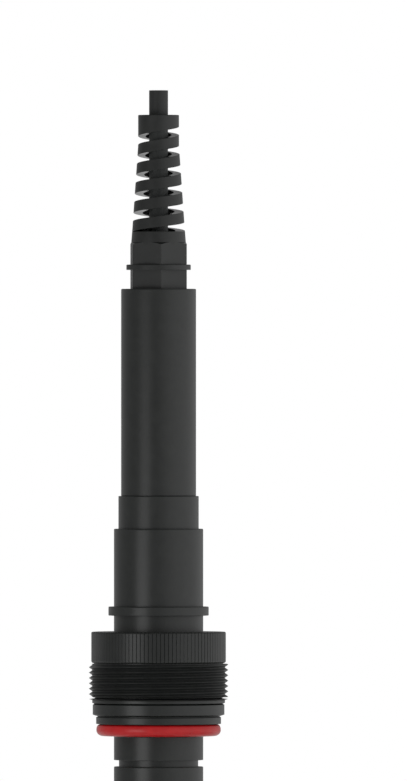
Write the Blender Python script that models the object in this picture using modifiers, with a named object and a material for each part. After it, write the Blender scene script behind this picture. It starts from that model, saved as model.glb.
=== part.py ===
"""Digital sodium ion sensor with an M39 x 1.5 lock nut and a spiral cable gland.

Metres, +Z up. The origin is on the sensor's axis, on the lower face of the flange, where the red ring seats.
The front of the sensor, as it is drawn, faces -Y.
"""
import math

import bmesh
import bpy
from mathutils import Matrix, Vector

MM = 0.001

# Lengths along the sensor that the drawing gives
CLAMP_LENGTH = 33.0 * MM
NECK_AND_BARREL_LENGTH = 31.0 * MM
REAR_LENGTH = 58.0 * MM
TOTAL_LENGTH = 200.0 * MM

# Diameters and thread that the drawing gives
BARREL_D = 25.0 * MM
THREAD_D = 39.0 * MM
THREAD_PITCH = 1.5 * MM

# Gaps between pieces, and edge breaks
FIT = 0.3 * MM
CORE_GAP = 0.15 * MM
EDGE = 0.3 * MM

# Main housing
NECK_D = 22.5 * MM
NECK_HEIGHT = 9.2 * MM
BAND_D = 36.9 * MM
BAND_HEIGHT = 2.8 * MM
STEP_D = 35.0 * MM
STEP_HEIGHT = 2.3 * MM
SPIGOT_LENGTH = 12.0 * MM
SPIGOT_WALL = 2.0 * MM
RIM_DEPTH = 9.95 * MM
SEAT_TAPER = 0.9 * MM
WASHER_SEAT_D = 34.0 * MM
WASHER_SEAT_HEIGHT = 0.3 * MM
BORE_SHOULDER = 6.0 * MM
BORE_TAPER = 3.0 * MM

# Retaining ring, thrust washer and lock nut
RING_D = 28.1 * MM
RING_HEIGHT = 2.5 * MM
RING_GROOVE_DEPTH = 0.7 * MM
RING_SPLIT = 3.0 * MM
WASHER_D = 37.2 * MM
WASHER_HEIGHT = 0.9 * MM
KNURL_D = 37.7 * MM
KNURL_HEIGHT = 8.75 * MM
KNURL_DEPTH = 0.35 * MM
KNURL_TEETH = 104
KNURL_EDGE = 0.7 * MM
NUT_TRAVEL = 4.0 * MM
THREAD_DEPTH = 0.92 * MM
THREAD_MOUTH_SHARE = 0.48
THREAD_FLANK = math.radians(30)
THREAD_RELIEF = 0.55 * MM
THREAD_CHAMFER = 0.3 * MM
NUT_MOUTH = 0.6 * MM

# Seals
SEAT_RING_SECTION = 3.5 * MM
SEAT_RING_D = 34.8 * MM
SMALL_RING_SECTION = 1.3 * MM
RING_GROOVE_WIDTH = 2.1 * MM
GLAND_RING_SECTION = 1.0 * MM

# Rear housing
REAR_D = 21.0 * MM
REAR_WALL = 1.7 * MM
REAR_PLATE = 6.0 * MM

# Cable
CABLE_D = 5.3 * MM
CABLE_FREE = 6.9 * MM
JACKET_END = 6.0 * MM
SHIELD_WALL = 0.2 * MM
CORE_D = 1.1 * MM

# Cable gland
GLAND_AF = 15.2 * MM
GLAND_THREAD_D = 12.0 * MM
GLAND_CAP_THREAD_D = 12.2 * MM
GLAND_HEX_HEIGHT = 5.3 * MM
GLAND_FLANGE_D = 18.05 * MM
GLAND_FLANGE_HEIGHT = 1.5 * MM
GLAND_NECK_HEIGHT = 5.5 * MM
GLAND_THREAD_END = 1.2 * MM
SEAL_POCKET_FLOOR = 0.6 * MM
SEAL_D = 9.0 * MM
SEAL_HEIGHT = 7.3 * MM
CLAW_RING_HEIGHT = 2.0 * MM
CLAW_FINGER_HEIGHT = 4.4 * MM
CLAW_TIP_TAPER = 1.0 * MM
CLAW_SLOT = 1.0 * MM
CLAW_FINGERS = 6
NUT_HEX_HEIGHT = 5.9 * MM
NUT_HEX_CHAMFER = 0.4 * MM
NUT_CORNER_SLOPE = math.radians(30)
NUT_BASE_HEIGHT = 3.05 * MM
NUT_CONE_HEIGHT = 3.3 * MM
HEX_TURN = math.radians(4.65)

# Spiral strain relief of the gland nut
RELIEF_HEIGHT = 32.65 * MM
RELIEF_TOP_D = 11.45 * MM
RELIEF_BASE_D = 14.8 * MM
RELIEF_STRAIGHT = 8.5 * MM
RELIEF_BORE_GAP = 1.0 * MM
RELIEF_FOOT_BORE_GAP = 2.1 * MM
SLOT_PITCH = 5.36 * MM
SLOT_HEIGHT = 2.3 * MM
SLOT_FIRST = 1.4 * MM
SLOT_TURNS = 5.0
SLOT_LEAD_IN = 0.5
SLOT_LEAD_OUT = 0.25

# Measuring head
HEAD_NECK_D = 22.2 * MM
HEAD_NECK_HEIGHT = 1.85 * MM
HEAD_SPIGOT_D = 18.4 * MM
HEAD_SPIGOT_BORE = 14.0 * MM
HEAD_SPIGOT_HEIGHT = 15.6 * MM
HEAD_BORE = 19.0 * MM
HEAD_FLOOR = 8.0 * MM
HEAD_CHAMFER = 1.0 * MM
PIN_PROUD = 2.0 * MM

# Electrodes, reference and thermometer in the head
ELECTRODE_AT = Vector((-4.2 * MM, 0.0, 0.0))
ELECTRODE_D = 8.0 * MM
ELECTRODE_WALL = 1.2 * MM
ELECTRODE_BELOW_THROAT = 13.75 * MM
MEMBRANE_HEIGHT = 0.5 * MM
MEMBRANE_RING_HEIGHT = 1.2 * MM
MEMBRANE_WINDOW = 5.0 * MM
REFERENCE_AT = Vector((4.4 * MM, 3.9 * MM, 0.0))
REFERENCE_D = 6.0 * MM
REFERENCE_WALL = 0.8 * MM
REFERENCE_BELOW_THROAT = 17.55 * MM
JUNCTION_HEIGHT = 4.0 * MM
PLUG_HEAD = 2.5 * MM
PLUG_SPIGOT = 4.3 * MM
WIRE_D = 0.8 * MM
WIRE_PROUD = 2.0 * MM
THERMOMETER_AT = Vector((4.4 * MM, -3.9 * MM, 0.0))
SHEATH_D = 4.0 * MM
SHEATH_WALL = 0.4 * MM
SHEATH_BELOW_THROAT = 33.55 * MM
THERMISTOR_LENGTH = 4.0 * MM

# Bulkhead, potting and leads
BULKHEAD_HEIGHT = 4.0 * MM
BULKHEAD_BELOW_TOP = 0.9 * MM
POTTING_HEIGHT = 5.0 * MM
LEAD_D = 0.8 * MM
LEAD_SPREAD = 3.0 * MM
LEAD_BEND_ROOM = 9.55 * MM

# Circuit board and what is on it
BOARD_WIDTH = 12.0 * MM
BOARD_THICKNESS = 1.6 * MM
BOARD_LENGTH = 72.0 * MM
BOARD_BELOW_PLATE = 14.0 * MM
CLIP_HEIGHT = 2.5 * MM
CABLE_PLUG_SIZE = (8.0 * MM, 4.5 * MM, 6.0 * MM)
CORE_SPREAD = 1.8 * MM
POWER_MODULE_SIZE = (9.0 * MM, 6.0 * MM, 12.0 * MM)
POWER_MODULE_ABOVE_CLIP = 15.0 * MM
TRANSCEIVER_SIZE = (7.5 * MM, 2.3 * MM, 10.3 * MM)
TRANSCEIVER_ABOVE_CLIP = 9.0 * MM
PROCESSOR_SIZE = (7.0 * MM, 1.0 * MM, 7.0 * MM)
PROCESSOR_ABOVE_BASE = 26.0 * MM
AMPLIFIER_SIZE = (4.0 * MM, 1.5 * MM, 5.0 * MM)
AMPLIFIER_ABOVE_BASE = 10.0 * MM
CAPACITOR_D = 4.0 * MM
CAPACITOR_HEIGHT = 4.5 * MM
CAPACITOR_ABOVE_CLIP = 4.0 * MM

# Facets round a large turned piece, a middling one and a small one, and round a ring's section
LARGE = 32
MIDDLE = 20
SMALL = 12
RING_SIDES = 8
SMALL_RING_SIDES = 6
CORE_BENDS = 4
LEAD_BENDS = 5
DOME_STEPS = 4
MERGE = 0.01 * MM
SMOOTH_ANGLE = math.radians(35)
FLAT_ANGLE = math.radians(0.2)

# Heights worked out from the lengths above
BAND_TOP = STEP_HEIGHT + BAND_HEIGHT
WASHER_SEAT = BAND_TOP + WASHER_SEAT_HEIGHT
WASHER_BASE = WASHER_SEAT + FIT
NUT_BASE = WASHER_BASE + WASHER_HEIGHT + FIT
RING_TOP = CLAMP_LENGTH
RING_BASE = RING_TOP - RING_HEIGHT
NUT_TOP = RING_BASE - NUT_TRAVEL - FIT
KNURL_BASE = NUT_TOP - KNURL_HEIGHT
NECK_TOP = RING_TOP + NECK_AND_BARREL_LENGTH
NECK_BASE = NECK_TOP - NECK_HEIGHT
REAR_TOP = NECK_TOP + REAR_LENGTH
REAR_CEILING = REAR_TOP - REAR_PLATE
SPIGOT_TOP = NECK_TOP + SPIGOT_LENGTH
TIP = REAR_TOP - TOTAL_LENGTH
SENSING_FACE = TIP + PIN_PROUD
RIM = -RIM_DEPTH
HEAD_TOP = RIM - FIT + HEAD_SPIGOT_HEIGHT
HEAD_NECK_TOP = RIM - FIT
HEAD_NECK_BASE = HEAD_NECK_TOP - HEAD_NECK_HEIGHT + FIT
HEAD_SHOULDER = HEAD_NECK_BASE - HEAD_NECK_HEIGHT
HEAD_THROAT = HEAD_SHOULDER - (HEAD_BORE - HEAD_SPIGOT_BORE) / 2
ELECTRODE_TOP = HEAD_THROAT - ELECTRODE_BELOW_THROAT
REFERENCE_TOP = HEAD_THROAT - REFERENCE_BELOW_THROAT
SHEATH_TOP = HEAD_THROAT - SHEATH_BELOW_THROAT
BOARD_TOP = REAR_CEILING - BOARD_BELOW_PLATE
BOARD_BASE = BOARD_TOP - BOARD_LENGTH

# Radii that several pieces share
REAR_BORE_R = REAR_D / 2 - REAR_WALL
SPIGOT_R = REAR_BORE_R - FIT
SPIGOT_BORE_R = SPIGOT_R - SPIGOT_WALL
HEAD_SOCKET_R = HEAD_SPIGOT_D / 2 + FIT
SEAT_SPIGOT_R = SEAT_RING_D / 2 - SEAT_RING_SECTION - FIT
NUT_BORE_R = BARREL_D / 2 + FIT
GLAND_BORE_R = CABLE_D / 2 + FIT + CORE_GAP
RELIEF_BORE_R = CABLE_D / 2 + RELIEF_BORE_GAP
SEAL_POCKET_R = SEAL_D / 2 + FIT
CAP_BORE_R = GLAND_CAP_THREAD_D / 2 + FIT

# Heights in the gland, above the rear housing's top face
GLAND_FLANGE_TOP = GLAND_HEX_HEIGHT + GLAND_FLANGE_HEIGHT
GLAND_NECK_TOP = GLAND_FLANGE_TOP + GLAND_NECK_HEIGHT
CAP_BASE = GLAND_FLANGE_TOP + FIT
CAP_HEX_TOP = CAP_BASE + NUT_HEX_HEIGHT
CAP_SHELF = CAP_HEX_TOP + NUT_BASE_HEIGHT
CAP_CONE_BASE = GLAND_NECK_TOP + FIT
CAP_CONE_TOP = CAP_CONE_BASE + NUT_CONE_HEIGHT
RELIEF_TOP = CAP_SHELF + RELIEF_HEIGHT
SEAL_BASE = SEAL_POCKET_FLOOR + FIT
CLAW_BASE = SEAL_BASE + SEAL_HEIGHT + FIT
CABLE_TOP = RELIEF_TOP + CABLE_FREE
POTTING_TOP = -REAR_PLATE - GLAND_THREAD_END - FIT

# Colour, roughness and metallic value of each finish
FINISHES = {
    "turned acetal": ((0.030, 0.032, 0.031), 0.38, 0.0),
    "moulded nylon": ((0.032, 0.034, 0.033), 0.48, 0.0),
    "cable sheath": ((0.030, 0.031, 0.031), 0.50, 0.0),
    "red silicone": ((0.330, 0.022, 0.026), 0.42, 0.0),
    "black rubber": ((0.015, 0.015, 0.015), 0.65, 0.0),
    "copper braid": ((0.640, 0.420, 0.300), 0.40, 1.0),
    "red insulation": ((0.450, 0.020, 0.020), 0.45, 0.0),
    "black insulation": ((0.020, 0.020, 0.020), 0.45, 0.0),
    "green insulation": ((0.020, 0.200, 0.040), 0.45, 0.0),
    "white insulation": ((0.700, 0.700, 0.680), 0.45, 0.0),
    "epoxy": ((0.050, 0.045, 0.040), 0.35, 0.0),
    "glass epoxy board": ((0.020, 0.160, 0.060), 0.45, 0.0),
    "chip resin": ((0.020, 0.020, 0.022), 0.55, 0.0),
    "capacitor can": ((0.750, 0.750, 0.760), 0.30, 1.0),
    "connector nylon": ((0.750, 0.730, 0.660), 0.50, 0.0),
    "electrode tube": ((0.600, 0.600, 0.580), 0.35, 0.0),
    "ion membrane": ((0.620, 0.560, 0.380), 0.25, 0.0),
    "porous ceramic": ((0.800, 0.790, 0.760), 0.85, 0.0),
    "silver": ((0.800, 0.790, 0.770), 0.30, 1.0),
    "stainless steel": ((0.560, 0.560, 0.570), 0.25, 1.0),
    "thermistor bead": ((0.080, 0.050, 0.030), 0.40, 0.0),
}


def clear_scene():
    for old in list(bpy.data.objects):
        bpy.data.objects.remove(old, do_unlink=True)


def new_collection(name):
    group = bpy.data.collections.new(name)
    bpy.context.scene.collection.children.link(group)
    return group


def new_object(name, data, parent=None):
    obj = bpy.data.objects.new(name, data)
    PARTS.objects.link(obj)
    obj.parent = parent
    return obj


def group_at(name, place):
    """An empty that carries a group of pieces, on the line that they turn or stand on."""
    empty = new_object(name, None)
    empty.location = place
    empty.empty_display_size = BARREL_D / 4
    return empty


def turned(name, profile, facets, parent=None):
    """A profile of (radius, height) points, running down its outer side, spun round +Z."""
    mesh = bpy.data.meshes.new(name)
    edges = [(i, i + 1) for i in range(len(profile) - 1)]
    if profile[0][0] > 0:
        edges.append((len(profile) - 1, 0))
    mesh.from_pydata([(r, 0.0, z) for r, z in profile], edges, [])
    obj = new_object(name, mesh, parent)
    lathe = obj.modifiers.new("Lathe", "SCREW")
    lathe.steps = facets
    lathe.render_steps = facets
    lathe.use_merge_vertices = True
    lathe.merge_threshold = MERGE
    return obj


def ring(name, inner, outer, low, high, facets, parent=None, edge=0.0):
    """A turned ring or tube, its outer edges broken by edge."""
    if edge > 0:
        outside = [(outer - edge, high), (outer, high - edge), (outer, low + edge), (outer - edge, low)]
    else:
        outside = [(outer, high), (outer, low)]
    return turned(name, [(inner, high), *outside, (inner, low)], facets, parent)


def disc(name, radius, low, high, facets, parent=None):
    """A plain upright cylinder."""
    bm = bmesh.new()
    middle = Matrix.Translation((0.0, 0.0, (low + high) / 2))
    bmesh.ops.create_cone(bm, cap_ends=True, segments=facets, radius1=radius, radius2=radius,
                          depth=high - low, matrix=middle)
    return mesh_object(name, bm, parent)


def box(name, size, centre, parent=None, turn=0.0):
    """A block of the given size, turned about +Z after it is placed."""
    bm = bmesh.new()
    place = Matrix.Rotation(turn, 4, "Z") @ Matrix.Translation(centre) @ Matrix.Diagonal((*size, 1.0))
    bmesh.ops.create_cube(bm, size=1.0, matrix=place)
    return mesh_object(name, bm, parent)


def mesh_object(name, bm, parent=None):
    mesh = bpy.data.meshes.new(name)
    bm.to_mesh(mesh)
    bm.free()
    return new_object(name, mesh, parent)


def o_ring(name, inner, section, height, facets, sides, parent=None):
    bpy.ops.mesh.primitive_torus_add(
        major_radius=inner + section / 2, minor_radius=section / 2,
        major_segments=facets, minor_segments=sides, location=(0.0, 0.0, 0.0))
    torus = bpy.context.object
    obj = new_object(name, torus.data, parent)
    obj.location.z = height
    bpy.data.objects.remove(torus)
    return obj


def wire(name, points, diameter, parent=None):
    """A round wire along a smooth row of points, with closed ends."""
    curve = bpy.data.curves.new(name, "CURVE")
    curve.dimensions = "3D"
    curve.bevel_depth = diameter / 2
    curve.bevel_resolution = 1
    curve.use_fill_caps = True
    spline = curve.splines.new("POLY")
    spline.points.add(len(points) - 1)
    for point, place in zip(spline.points, points):
        point.co = (*place, 1.0)
    return new_object(name, curve, parent)


def eased(share):
    """A share from 0 to 1 that starts and ends gently."""
    share = min(max(share, 0.0), 1.0)
    return share * share * (3.0 - 2.0 * share)


def eased_path(start, end, bend_start, bend_end, count):
    """Points from start to end, upright at both, that go across between two heights, sideways first."""
    points = [Vector(start)]
    for i in range(count + 1):
        share = i / count
        x = start[0] + (end[0] - start[0]) * eased(2.0 * share)
        y = start[1] + (end[1] - start[1]) * eased(2.0 * share - 1.0)
        points.append(Vector((x, y, bend_start + (bend_end - bend_start) * share)))
    points.append(Vector(end))
    return points


def boolean(obj, other, operation):
    step = obj.modifiers.new(other.name, "BOOLEAN")
    step.operation = operation
    step.solver = "EXACT"
    step.object = other
    if other.name not in CUTTERS.objects:
        PARTS.objects.unlink(other)
        CUTTERS.objects.link(other)
        other.hide_render = True
        other.display_type = "WIRE"


def swept_helix(name, section, pitch, start_angle, turns, steps_per_turn, parent=None):
    """A closed section of (radius, height) points, swept round +Z as it climbs to the right."""
    bm = bmesh.new()
    face = bm.faces.new([bm.verts.new((r, 0.0, z)) for r, z in section])
    bmesh.ops.rotate(bm, verts=bm.verts, cent=(0.0, 0.0, 0.0), matrix=Matrix.Rotation(start_angle, 3, "Z"))
    steps = round(turns * steps_per_turn)
    bmesh.ops.spin(
        bm, geom=[face, *face.edges, *face.verts], cent=(0.0, 0.0, 0.0), axis=(0.0, 0.0, 1.0),
        dvec=(0.0, 0.0, pitch / steps_per_turn), angle=2.0 * math.pi * steps / steps_per_turn,
        steps=steps, use_merge=False, use_duplicate=False)
    bmesh.ops.recalc_face_normals(bm, faces=bm.faces)
    return mesh_object(name, bm, parent)


def hexagon(name, low, high, parent=None):
    """A hexagon bar of the gland's spanner size, with one corner just right of the front."""
    corner_r = GLAND_AF / math.sqrt(3.0)
    bm = bmesh.new()
    place = Matrix.Translation((0.0, 0.0, (low + high) / 2)) @ Matrix.Rotation(HEX_TURN, 4, "Z")
    bmesh.ops.create_cone(bm, cap_ends=True, segments=6, radius1=corner_r, radius2=corner_r,
                          depth=high - low, matrix=place)
    return mesh_object(name, bm, parent)


def join_slivers(mesh):
    """Welds the hair-thin faces that a cut leaves by a facet's edge, and joins faces lying flat together."""
    bm = bmesh.new()
    bm.from_mesh(mesh)
    bmesh.ops.remove_doubles(bm, verts=bm.verts, dist=MERGE)
    bmesh.ops.dissolve_degenerate(bm, edges=bm.edges, dist=MERGE)
    bmesh.ops.dissolve_limit(bm, angle_limit=FLAT_ANGLE, verts=bm.verts, edges=bm.edges)
    bm.to_mesh(mesh)
    bm.free()


def finish(obj, look):
    """Gives a piece its own material, and settles its modifiers into a mesh with sharp edges marked."""
    if obj.type == "MESH":
        depsgraph = bpy.context.evaluated_depsgraph_get()
        settled = bpy.data.meshes.new_from_object(obj.evaluated_get(depsgraph))
        settled.name = obj.name
        join_slivers(settled)
        obj.modifiers.clear()
        obj.data = settled
        settled.shade_smooth()
        settled.set_sharp_from_angle(angle=SMOOTH_ANGLE)
    colour, roughness, metallic = FINISHES[look]
    material = bpy.data.materials.new(obj.name)
    material.use_nodes = True
    shader = material.node_tree.nodes["Principled BSDF"]
    shader.inputs["Base Color"].default_value = (*colour, 1.0)
    shader.inputs["Roughness"].default_value = roughness
    shader.inputs["Metallic"].default_value = metallic
    obj.data.materials.clear()
    obj.data.materials.append(material)


def groove(radius, depth, low, high):
    """The four points of a square groove, from the top edge down."""
    return [(radius, high), (radius - depth, high), (radius - depth, low), (radius, low)]


def build_main_housing():
    """Neck, barrel, flange and lower barrel, turned from one bar and bored through."""
    barrel_r = BARREL_D / 2
    neck_r = NECK_D / 2
    step_r = STEP_D / 2
    band_r = BAND_D / 2
    ring_depth = SMALL_RING_SECTION + FIT - (REAR_BORE_R - SPIGOT_R - FIT)
    ring_low = NECK_TOP + RING_GROOVE_WIDTH
    seat_r = WASHER_SEAT_D / 2
    spigot_top = [(SPIGOT_BORE_R, SPIGOT_TOP), (SPIGOT_R - EDGE, SPIGOT_TOP), (SPIGOT_R, SPIGOT_TOP - EDGE)]
    neck = [(SPIGOT_R, NECK_TOP - FIT), (neck_r - EDGE, NECK_TOP - FIT), (neck_r, NECK_TOP - FIT - EDGE),
            (neck_r, NECK_BASE)]
    barrel = [(barrel_r - EDGE, NECK_BASE), (barrel_r, NECK_BASE - EDGE)]
    ring_groove = groove(barrel_r, RING_GROOVE_DEPTH, RING_BASE - FIT, RING_TOP + FIT)
    flange = [(barrel_r, WASHER_SEAT), (seat_r, WASHER_SEAT), (seat_r, BAND_TOP),
              (band_r - EDGE, BAND_TOP), (band_r, BAND_TOP - EDGE), (band_r, STEP_HEIGHT),
              (step_r, STEP_HEIGHT), (step_r, EDGE), (step_r - EDGE, 0.0), (SEAT_SPIGOT_R, 0.0)]
    seat_low = -SEAT_RING_SECTION
    lower = [(SEAT_SPIGOT_R, seat_low + SEAT_TAPER), (barrel_r, seat_low), (barrel_r, RIM)]
    bore = [(HEAD_SOCKET_R, RIM), (HEAD_SOCKET_R, BORE_SHOULDER), (SPIGOT_BORE_R, BORE_SHOULDER + BORE_TAPER)]
    seal_groove = groove(SPIGOT_R, ring_depth, ring_low, ring_low + RING_GROOVE_WIDTH)
    profile = [*spigot_top, *seal_groove, *neck, *barrel, *ring_groove, *flange, *lower, *bore]
    finish(turned("main_housing", profile, LARGE), "turned acetal")
    seal_r = SPIGOT_R - ring_depth + FIT
    ring_z = ring_low + RING_GROOVE_WIDTH / 2
    rear_ring = o_ring("rear_oring", seal_r, SMALL_RING_SECTION, ring_z, MIDDLE, SMALL_RING_SIDES)
    finish(rear_ring, "black rubber")


def build_retaining_ring():
    """A snap ring in the barrel's groove, open at the back."""
    inner = BARREL_D / 2 - RING_GROOVE_DEPTH + FIT
    snap = ring("retaining_ring", inner, RING_D / 2, RING_BASE, RING_TOP, LARGE, edge=EDGE)
    length = RING_D / 2
    middle = (0.0, length, (RING_BASE + RING_TOP) / 2)
    split = box("ring_split", (RING_SPLIT, length, 2 * RING_HEIGHT), middle)
    boolean(snap, split, "DIFFERENCE")
    finish(snap, "turned acetal")


def knurled_disc(name, parent):
    """A toothed outline, extruded, with its end loops drawn in to round the edges."""
    crest = KNURL_D / 2
    points = 2 * KNURL_TEETH
    bm = bmesh.new()
    outline = []
    for i in range(points):
        radius = crest - KNURL_DEPTH * (i % 2)
        angle = 2.0 * math.pi * i / points
        outline.append(bm.verts.new((radius * math.cos(angle), radius * math.sin(angle), KNURL_BASE)))
    face = bm.faces.new(outline)
    inset = 1.0 - KNURL_EDGE / crest
    bmesh.ops.scale(bm, vec=(inset, inset, 1.0), verts=outline)
    levels = [(KNURL_BASE + KNURL_EDGE, 1.0 / inset), (NUT_TOP - KNURL_EDGE, 1.0), (NUT_TOP, inset)]
    height = KNURL_BASE
    for level, scale in levels:
        grown = bmesh.ops.extrude_face_region(bm, geom=[face])["geom"]
        if height > KNURL_BASE:
            bmesh.ops.delete(bm, geom=[face], context="FACES_ONLY")
        face = next(part for part in grown if isinstance(part, bmesh.types.BMFace))
        bmesh.ops.translate(bm, vec=(0.0, 0.0, level - height), verts=face.verts)
        bmesh.ops.scale(bm, vec=(scale, scale, 1.0), verts=face.verts)
        height = level
    bmesh.ops.recalc_face_normals(bm, faces=bm.faces)
    return mesh_object(name, bm, parent)


def build_lock_nut():
    """Thrust washer, and the nut with its knurled grip and its right-hand thread."""
    axis = group_at("lock_nut_axis", (0.0, 0.0, 0.0))
    washer_top = WASHER_BASE + WASHER_HEIGHT
    washer = ring("thrust_washer", NUT_BORE_R, WASHER_D / 2, WASHER_BASE, washer_top, LARGE, axis)
    finish(washer, "turned acetal")

    crest = THREAD_D / 2
    root = crest - THREAD_DEPTH
    hub = KNURL_D / 2 - KNURL_DEPTH - 2 * KNURL_EDGE
    hub_top = (KNURL_BASE + NUT_TOP) / 2
    hub_low = KNURL_BASE + KNURL_EDGE
    profile = [(0.0, hub_top), (hub, hub_top), (hub, hub_low), (root, hub_low),
               (root, KNURL_BASE - THREAD_RELIEF), (crest, KNURL_BASE - THREAD_RELIEF),
               (crest, NUT_BASE + THREAD_CHAMFER), (crest - THREAD_CHAMFER, NUT_BASE), (0.0, NUT_BASE)]
    nut = turned("lock_nut", profile, LARGE, axis)

    outside = crest + EDGE
    half_mouth = min((outside - root) * math.tan(THREAD_FLANK), THREAD_MOUTH_SHARE * THREAD_PITCH)
    tooth = [(root, 0.0), (outside, -half_mouth), (outside, half_mouth)]
    turns = math.ceil((KNURL_BASE - NUT_BASE) / THREAD_PITCH) + 1
    cutter = swept_helix("thread_cutter", tooth, THREAD_PITCH, 0.0, turns, LARGE, axis)
    cutter.location.z = NUT_BASE - THREAD_PITCH
    boolean(nut, cutter, "DIFFERENCE")
    boolean(nut, knurled_disc("knurl_blank", axis), "UNION")
    bore = [(0.0, NUT_TOP + EDGE), (NUT_BORE_R + NUT_MOUTH + EDGE, NUT_TOP + EDGE),
            (NUT_BORE_R, NUT_TOP - NUT_MOUTH), (NUT_BORE_R, NUT_BASE - EDGE), (0.0, NUT_BASE - EDGE)]
    boolean(nut, turned("nut_bore", bore, LARGE, axis), "DIFFERENCE")
    finish(nut, "turned acetal")


def build_seat_ring():
    height = -FIT - SEAT_RING_SECTION / 2
    inner = SEAT_RING_D / 2 - SEAT_RING_SECTION
    seat = o_ring("seat_oring", inner, SEAT_RING_SECTION, height, LARGE, RING_SIDES)
    finish(seat, "red silicone")


def build_rear_housing():
    """A plain tube with a thick top plate, open below, where it goes over the main housing's spigot."""
    outer = REAR_D / 2
    hole = GLAND_THREAD_D / 2 + FIT
    pocket = hole + GLAND_RING_SECTION + FIT
    pocket_floor = REAR_TOP - GLAND_RING_SECTION - FIT
    profile = [(pocket, REAR_TOP), (outer - EDGE, REAR_TOP), (outer, REAR_TOP - EDGE), (outer, NECK_TOP),
               (REAR_BORE_R + EDGE, NECK_TOP), (REAR_BORE_R, NECK_TOP + EDGE), (REAR_BORE_R, REAR_CEILING),
               (hole, REAR_CEILING), (hole, pocket_floor), (pocket, pocket_floor)]
    finish(turned("rear_housing", profile, LARGE), "turned acetal")


def build_gland_body(base):
    """Connecting thread, hexagon, thin round flange and the thread for the gland nut, in one moulding."""
    thread_r = GLAND_THREAD_D / 2
    neck_r = GLAND_CAP_THREAD_D / 2
    flange_r = GLAND_FLANGE_D / 2
    low = -REAR_PLATE - GLAND_THREAD_END
    profile = [(0.0, GLAND_NECK_TOP), (neck_r - EDGE, GLAND_NECK_TOP), (neck_r, GLAND_NECK_TOP - EDGE),
               (neck_r, GLAND_FLANGE_TOP), (flange_r, GLAND_FLANGE_TOP), (flange_r, GLAND_HEX_HEIGHT),
               (neck_r, GLAND_HEX_HEIGHT), (thread_r, GLAND_HEX_HEIGHT / 2), (thread_r, low + EDGE),
               (thread_r - EDGE, low), (0.0, low)]
    body = turned("gland_body", profile, MIDDLE, base)
    flats = hexagon("gland_body_hexagon", FIT, GLAND_HEX_HEIGHT + GLAND_FLANGE_HEIGHT / 2, base)
    boolean(body, flats, "UNION")
    bore = [(0.0, GLAND_NECK_TOP + EDGE), (SEAL_POCKET_R, GLAND_NECK_TOP + EDGE),
            (SEAL_POCKET_R, SEAL_POCKET_FLOOR), (GLAND_BORE_R, SEAL_POCKET_FLOOR),
            (GLAND_BORE_R, low - EDGE), (0.0, low - EDGE)]
    boolean(body, turned("gland_body_bore", bore, MIDDLE, base), "DIFFERENCE")
    finish(body, "moulded nylon")


def build_gland_claw(base):
    """The ring of fingers that the gland nut's inner cone closes on the cable."""
    outer = SEAL_D / 2
    inner = CABLE_D / 2 + FIT
    ring_top = CLAW_BASE + CLAW_RING_HEIGHT
    top = ring_top + CLAW_FINGER_HEIGHT
    tip_r = outer - CLAW_TIP_TAPER / 2
    profile = [(inner, top), (tip_r, top), (outer, top - CLAW_TIP_TAPER), (outer, CLAW_BASE),
               (inner, CLAW_BASE)]
    claw = turned("gland_claw", profile, MIDDLE, base)
    for i in range(CLAW_FINGERS):
        centre = (SEAL_D / 2, 0.0, (ring_top + top + FIT) / 2)
        slot = box(f"claw_slot_{i + 1}", (SEAL_D, CLAW_SLOT, top + FIT - ring_top), centre, base,
                   turn=2.0 * math.pi * i / CLAW_FINGERS)
        boolean(claw, slot, "DIFFERENCE")
    finish(claw, "moulded nylon")


def relief_profile():
    """The outside of the strain relief and its base, from the top down to inside the hexagon."""
    top_r = RELIEF_TOP_D / 2
    base_r = GLAND_AF / 2
    return [(0.0, RELIEF_TOP), (top_r - EDGE, RELIEF_TOP), (top_r, RELIEF_TOP - EDGE),
            (top_r, RELIEF_TOP - RELIEF_STRAIGHT), (RELIEF_BASE_D / 2, CAP_SHELF), (base_r, CAP_HEX_TOP),
            (base_r - NUT_HEX_CHAMFER, CAP_HEX_TOP - NUT_HEX_CHAMFER),
            (0.0, CAP_HEX_TOP - NUT_HEX_CHAMFER)]


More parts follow.
